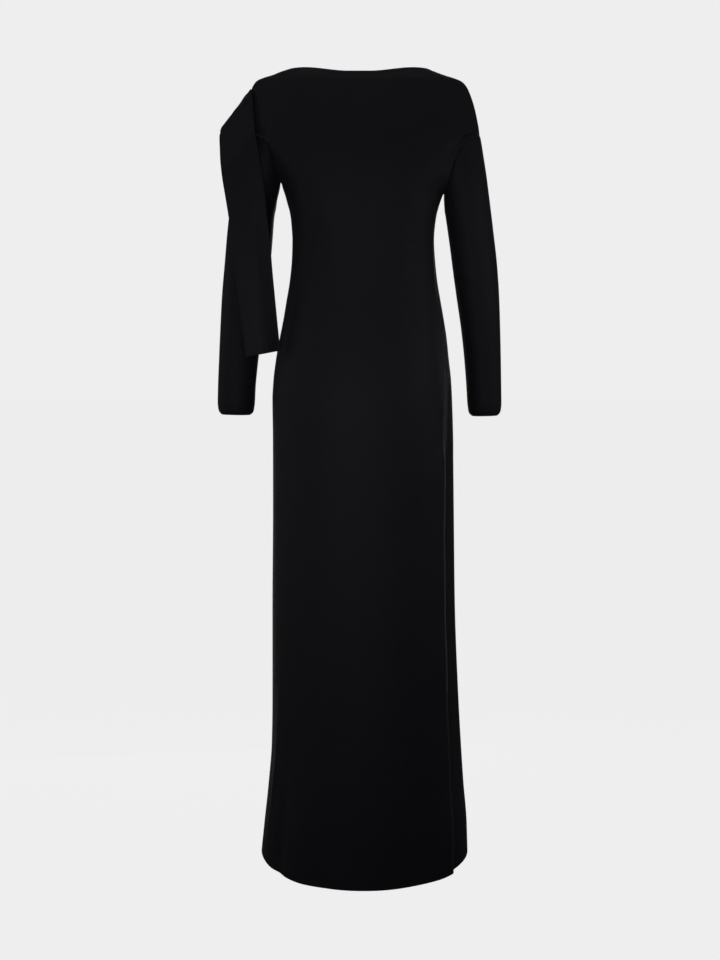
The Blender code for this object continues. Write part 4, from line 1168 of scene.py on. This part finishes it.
def make_sash(name, material):
    top = SASH_END_TOP[0] - FOLD_TOP[0]
    low = SASH_END_LOW[0] - FOLD_TIP[0] - FOLD_RUN
    middle = np.linspace(0, 1, 41)[1:-1] * (SASH_WIDTH - 2 * EDGE[-1]) + EDGE[-1]
    shares = np.concatenate((EDGE, middle, SASH_WIDTH - EDGE[::-1])) / SASH_WIDTH
    ends = HANG[-1][0] + (ROLL_TOP + shares * (ROLL_TIP - ROLL_TOP)) * (pi / 2 - 1) / FOLD_ACROSS
    starts = -(top + (low - top) * shares)
    side, curve = folded(shares, FOLD_ROWS + 1)
    before, after = FOLD_RUN * shares - side, FOLD_RUN * shares + side
    front_rows, back_rows = [], []
    for t in np.concatenate((EDGE[:-1] / 0.34, np.linspace(EDGE[-1] / 0.34, 1, 110))):
        front_rows.append(starts * (1 - t) + before * t)
    back_long = (ends - after).mean()
    for t in np.concatenate((np.linspace(0, 1 - EDGE[-1] / back_long, 128)[:-1], 1 - EDGE[::-1] / back_long)):
        back_rows.append(after + (ends - after) * t)
    runs = np.concatenate((np.array(front_rows), before + (after - before) * (np.arange(1, FOLD_ROWS + 1) / (FOLD_ROWS + 1))[:, None], np.array(back_rows)))
    across = np.repeat(shares[None], len(runs), 0)
    count = len(front_rows)
    base = np.concatenate((
        sash_point(runs[:count], across[:count]), curve,
        sash_point(runs[count + FOLD_ROWS :], across[count + FOLD_ROWS :]),
    ))
    row = np.arange(len(runs))[:, None] - (count + FOLD_ROWS / 2)
    inside = np.minimum(shares, 1 - shares)[None] > 0.13
    base = evened(base, 0.8 * smooth(1.6 - np.abs(row) / (FOLD_ROWS * 0.9)) * inside, 12)
    rows, run = runs, runs
    outward = np.zeros_like(base)
    outward[-60:, :, 1] = -1
    normals = grid_normals(base, outward)
    # Long soft folds run the sash's length: they gather over the shoulder and open out below it.
    lift = np.zeros(run.shape)
    wide = across * SASH_WIDTH
    for place, rise, width, begin, finish in (
        (0.30, -0.0010, 0.0060, -0.44, -0.06),
        (0.62, 0.0009, 0.0070, -0.40, -0.03),
        (0.45, 0.0012, 0.0080, 0.12, 0.60),
        (0.78, -0.0009, 0.0060, 0.10, 0.38),
    ):
        centre = (place + 0.06 * np.sin(9.0 * run + 7 * place)) * SASH_WIDTH
        ramp = smooth((run - begin) / 0.10) * smooth((finish - run) / 0.14)
        lift += rise * ramp * np.exp(-(((wide - centre) / width) ** 2))
    along = lengths(base, 0)
    from_start, from_end = along, along[-1] - along
    side = np.minimum(wide, SASH_WIDTH - wide)
    lift += stitched(side, SASH_BAND) * smooth((from_end - SASH_BAND) / 0.002) + stitched(from_end, SASH_BAND)
    surface = base + normals * (lift - CLOTH / 2)[..., None]
    # The fold's outer corner is blunt, as the turned edges in it are.
    off = np.hypot(surface[..., 0] - FOLD_TIP[0], surface[..., 2] - FOLD_TIP[1])
    surface[..., 0] += 0.0030 * np.exp(-((off / 0.0055) ** 2))
    normals = grid_normals(surface, outward)
    thick = CLOTH + np.maximum(turned(side, SASH_BAND), turned(from_end, SASH_BAND))
    edge = np.minimum.reduce((side, from_start, from_end))
    made, outer = shell(name, surface, normals, rim(edge, CLOTH), rim(edge, 2 * thick - CLOTH), material)
    keep = slice(12, len(rows) - 22)
    paths = [
        line_at(outer[keep], normals[keep], wide[keep], SASH_BAND - 0.0016, 1),
        line_at(outer[keep, ::-1], normals[keep, ::-1], (SASH_WIDTH - wide)[keep, ::-1], SASH_BAND - 0.0016, 1),
        line_at(outer[::-1], normals[::-1], from_end[::-1], SASH_BAND - 0.0016, 0),
    ]
    return made, paths


# ---------------------------------------------------------------- building

black_thread = thread("black_thread")
# Paler copies of the crepe that paint highlights on the panels.
PAINTED_HIGHLIGHT_CREPES = [crepe("painted_highlight_crepe_%d" % i, [c * more for c in TONE], 0.0) for i, more in enumerate(PAINTED_HIGHLIGHT_TONES)]
pieces = {}
for name, make, flat, area, on in (
    ("back", lambda m: make_panel("back_panel_cloth", False, 124, m), (0.470, 1.480), 0.560, []),
    ("front", lambda m: make_panel("front_panel_cloth", True, 130, m), (0.560, 1.460), 0.675, []),
    ("sleeve_right", lambda m: make_sleeve("sleeve_right_cloth", "right", 150, 112, m), (0.290, 0.500), 0.108, []),
    ("sleeve_left", lambda m: make_sleeve("sleeve_left_cloth", "left", 150, 112, m), (0.290, 0.500), 0.112, []),
    ("sash", lambda m: make_sash("shoulder_sash_cloth", m), (0.075, 0.900), 0.064, []),
):
    pieces[name] = (make, flat, area)

NODE = {"back": "back_panel", "front": "front_panel", "sleeve_right": "sleeve_right", "sleeve_left": "sleeve_left", "sash": "shoulder_sash"}
for seed, (name, (make, flat, area)) in enumerate(pieces.items()):
    node = NODE[name]
    cloth, paths = make(crepe(node + "_crepe", TONE, 0.37 * seed))
    threads = stitches(node + "_stitches", paths, black_thread)
    for piece in (cloth, threads):
        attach(piece, "root")
    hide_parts(node)

# ---------------------------------------------------------------- floor, light and camera

scene = bpy.context.scene
scene.view_settings.view_transform = "Standard"
scene.view_settings.look = "None"

PALE = (0.855, 0.855, 0.855)
ROOM = 0.05  # how much of the pale room the cloth itself gets back
world = bpy.data.worlds.new("studio")
scene.world = world
world.use_nodes = True
backdrop = world.node_tree.nodes["Background"]
seen = world.node_tree.nodes.new("ShaderNodeLightPath")
level = world.node_tree.nodes.new("ShaderNodeMapRange")
level.inputs["To Min"].default_value = ROOM
level.inputs["To Max"].default_value = 1.0
world.node_tree.links.new(seen.outputs["Is Camera Ray"], level.inputs["Value"])
world.node_tree.links.new(level.outputs["Result"], backdrop.inputs["Strength"])
backdrop.inputs["Color"].default_value = (*PALE, 1.0)

bpy.ops.mesh.primitive_circle_add(vertices=128, radius=30.0, fill_type="NGON", location=(0, 0, -1.62))
floor = bpy.context.object
floor.name = "floor"
paper = bpy.data.materials.new("floor_paper")
paper.use_nodes = True
shader = paper.node_tree.nodes["Principled BSDF"]
shader.inputs["Base Color"].default_value = (0.02, 0.02, 0.02, 1.0)
shader.inputs["Roughness"].default_value = 0.9
shader.inputs["Specular IOR Level"].default_value = 0.0
shader.inputs["Emission Color"].default_value = (*PALE, 1.0)
seen = paper.node_tree.nodes.new("ShaderNodeLightPath")
level = paper.node_tree.nodes.new("ShaderNodeMapRange")
level.inputs["To Min"].default_value = ROOM
level.inputs["To Max"].default_value = 0.99
paper.node_tree.links.new(seen.outputs["Is Camera Ray"], level.inputs["Value"])
paper.node_tree.links.new(level.outputs["Result"], shader.inputs["Emission Strength"])
floor.data.materials.append(paper)


def softbox(name, place, aim, size, power):
    light = bpy.data.lights.new(name, "AREA")
    light.shape, light.size, light.size_y, light.energy = "RECTANGLE", size[0], size[1], power
    made = bpy.data.objects.new(name, light)
    made.location = place
    made.rotation_euler = (Vector(aim) - Vector(place)).to_track_quat("-Z", "Y").to_euler()
    scene.collection.objects.link(made)
    return made


def round_about(azimuth, distance, height):
    """A place round the dress: azimuth 0 is behind it, 90 on the wearer's right."""
    turn = azimuth * pi / 180
    return (np.sin(turn) * distance, -np.cos(turn) * distance, height)


# name, azimuth, distance, height, height aimed at, size, watts
LIGHTS = (
    ("near", -4, 1.45, -0.28, -0.40, (0.8, 0.7), 3.1),
    ("near_middle", 0, 1.5, -0.75, -0.70, (0.8, 0.7), 2.8),
    ("near_left", -15, 0.9, -0.60, -0.58, (0.2, 0.2), 0.85),
    ("cuff_left", -40, 0.9, -0.62, -0.60, (0.25, 0.25), 0.40),
    ("over", 0, 0.3, 2.0, -0.50, (1.0, 1.0), 18.0),
    ("upper_left", -65, 1.5, 0.9, -0.55, (0.6, 0.6), 1.0),
    ("low_left", -50, 2.0, -1.30, -0.90, (1.2, 0.8), 1.4),
    ("side_left", -82, 2.0, -0.05, -0.40, (0.6, 2.0), 6.0),
    ("side_right", 82, 2.0, -0.20, -0.50, (0.6, 2.0), 5.8),
    ("hip_right", 60, 0.75, -0.42, -0.42, (0.2, 0.25), 0.75),
    ("rim_left", -112, 1.8, -0.60, -0.60, (0.5, 1.4), 1.4),
    ("rim_right", 112, 1.8, -0.95, -0.80, (0.5, 1.4), 0.35),
    ("front", 172, 2.4, 0.20, -0.50, (1.6, 1.6), 18.0),
    ("front_low", 192, 2.2, -1.20, -1.00, (1.6, 0.8), 5.0),
)
for label, azimuth, distance, height, aim, size, watts in LIGHTS:
    softbox(label, round_about(azimuth, distance, height), (0.0, 0.0, aim), size, watts)


camera_data = bpy.data.cameras.new("camera")
camera_data.sensor_fit = "VERTICAL"
camera_data.sensor_height = 36.0
camera_data.lens = 87.708
camera_data.clip_end = 200.0
camera = bpy.data.objects.new("camera", camera_data)
camera.location = (0.0004, -4.2, -0.4426)
camera.rotation_euler = (Vector((0.0004, 0.0, -0.7326)) - camera.location).to_track_quat("-Z", "Y").to_euler()
scene.collection.objects.link(camera)
scene.camera = camera
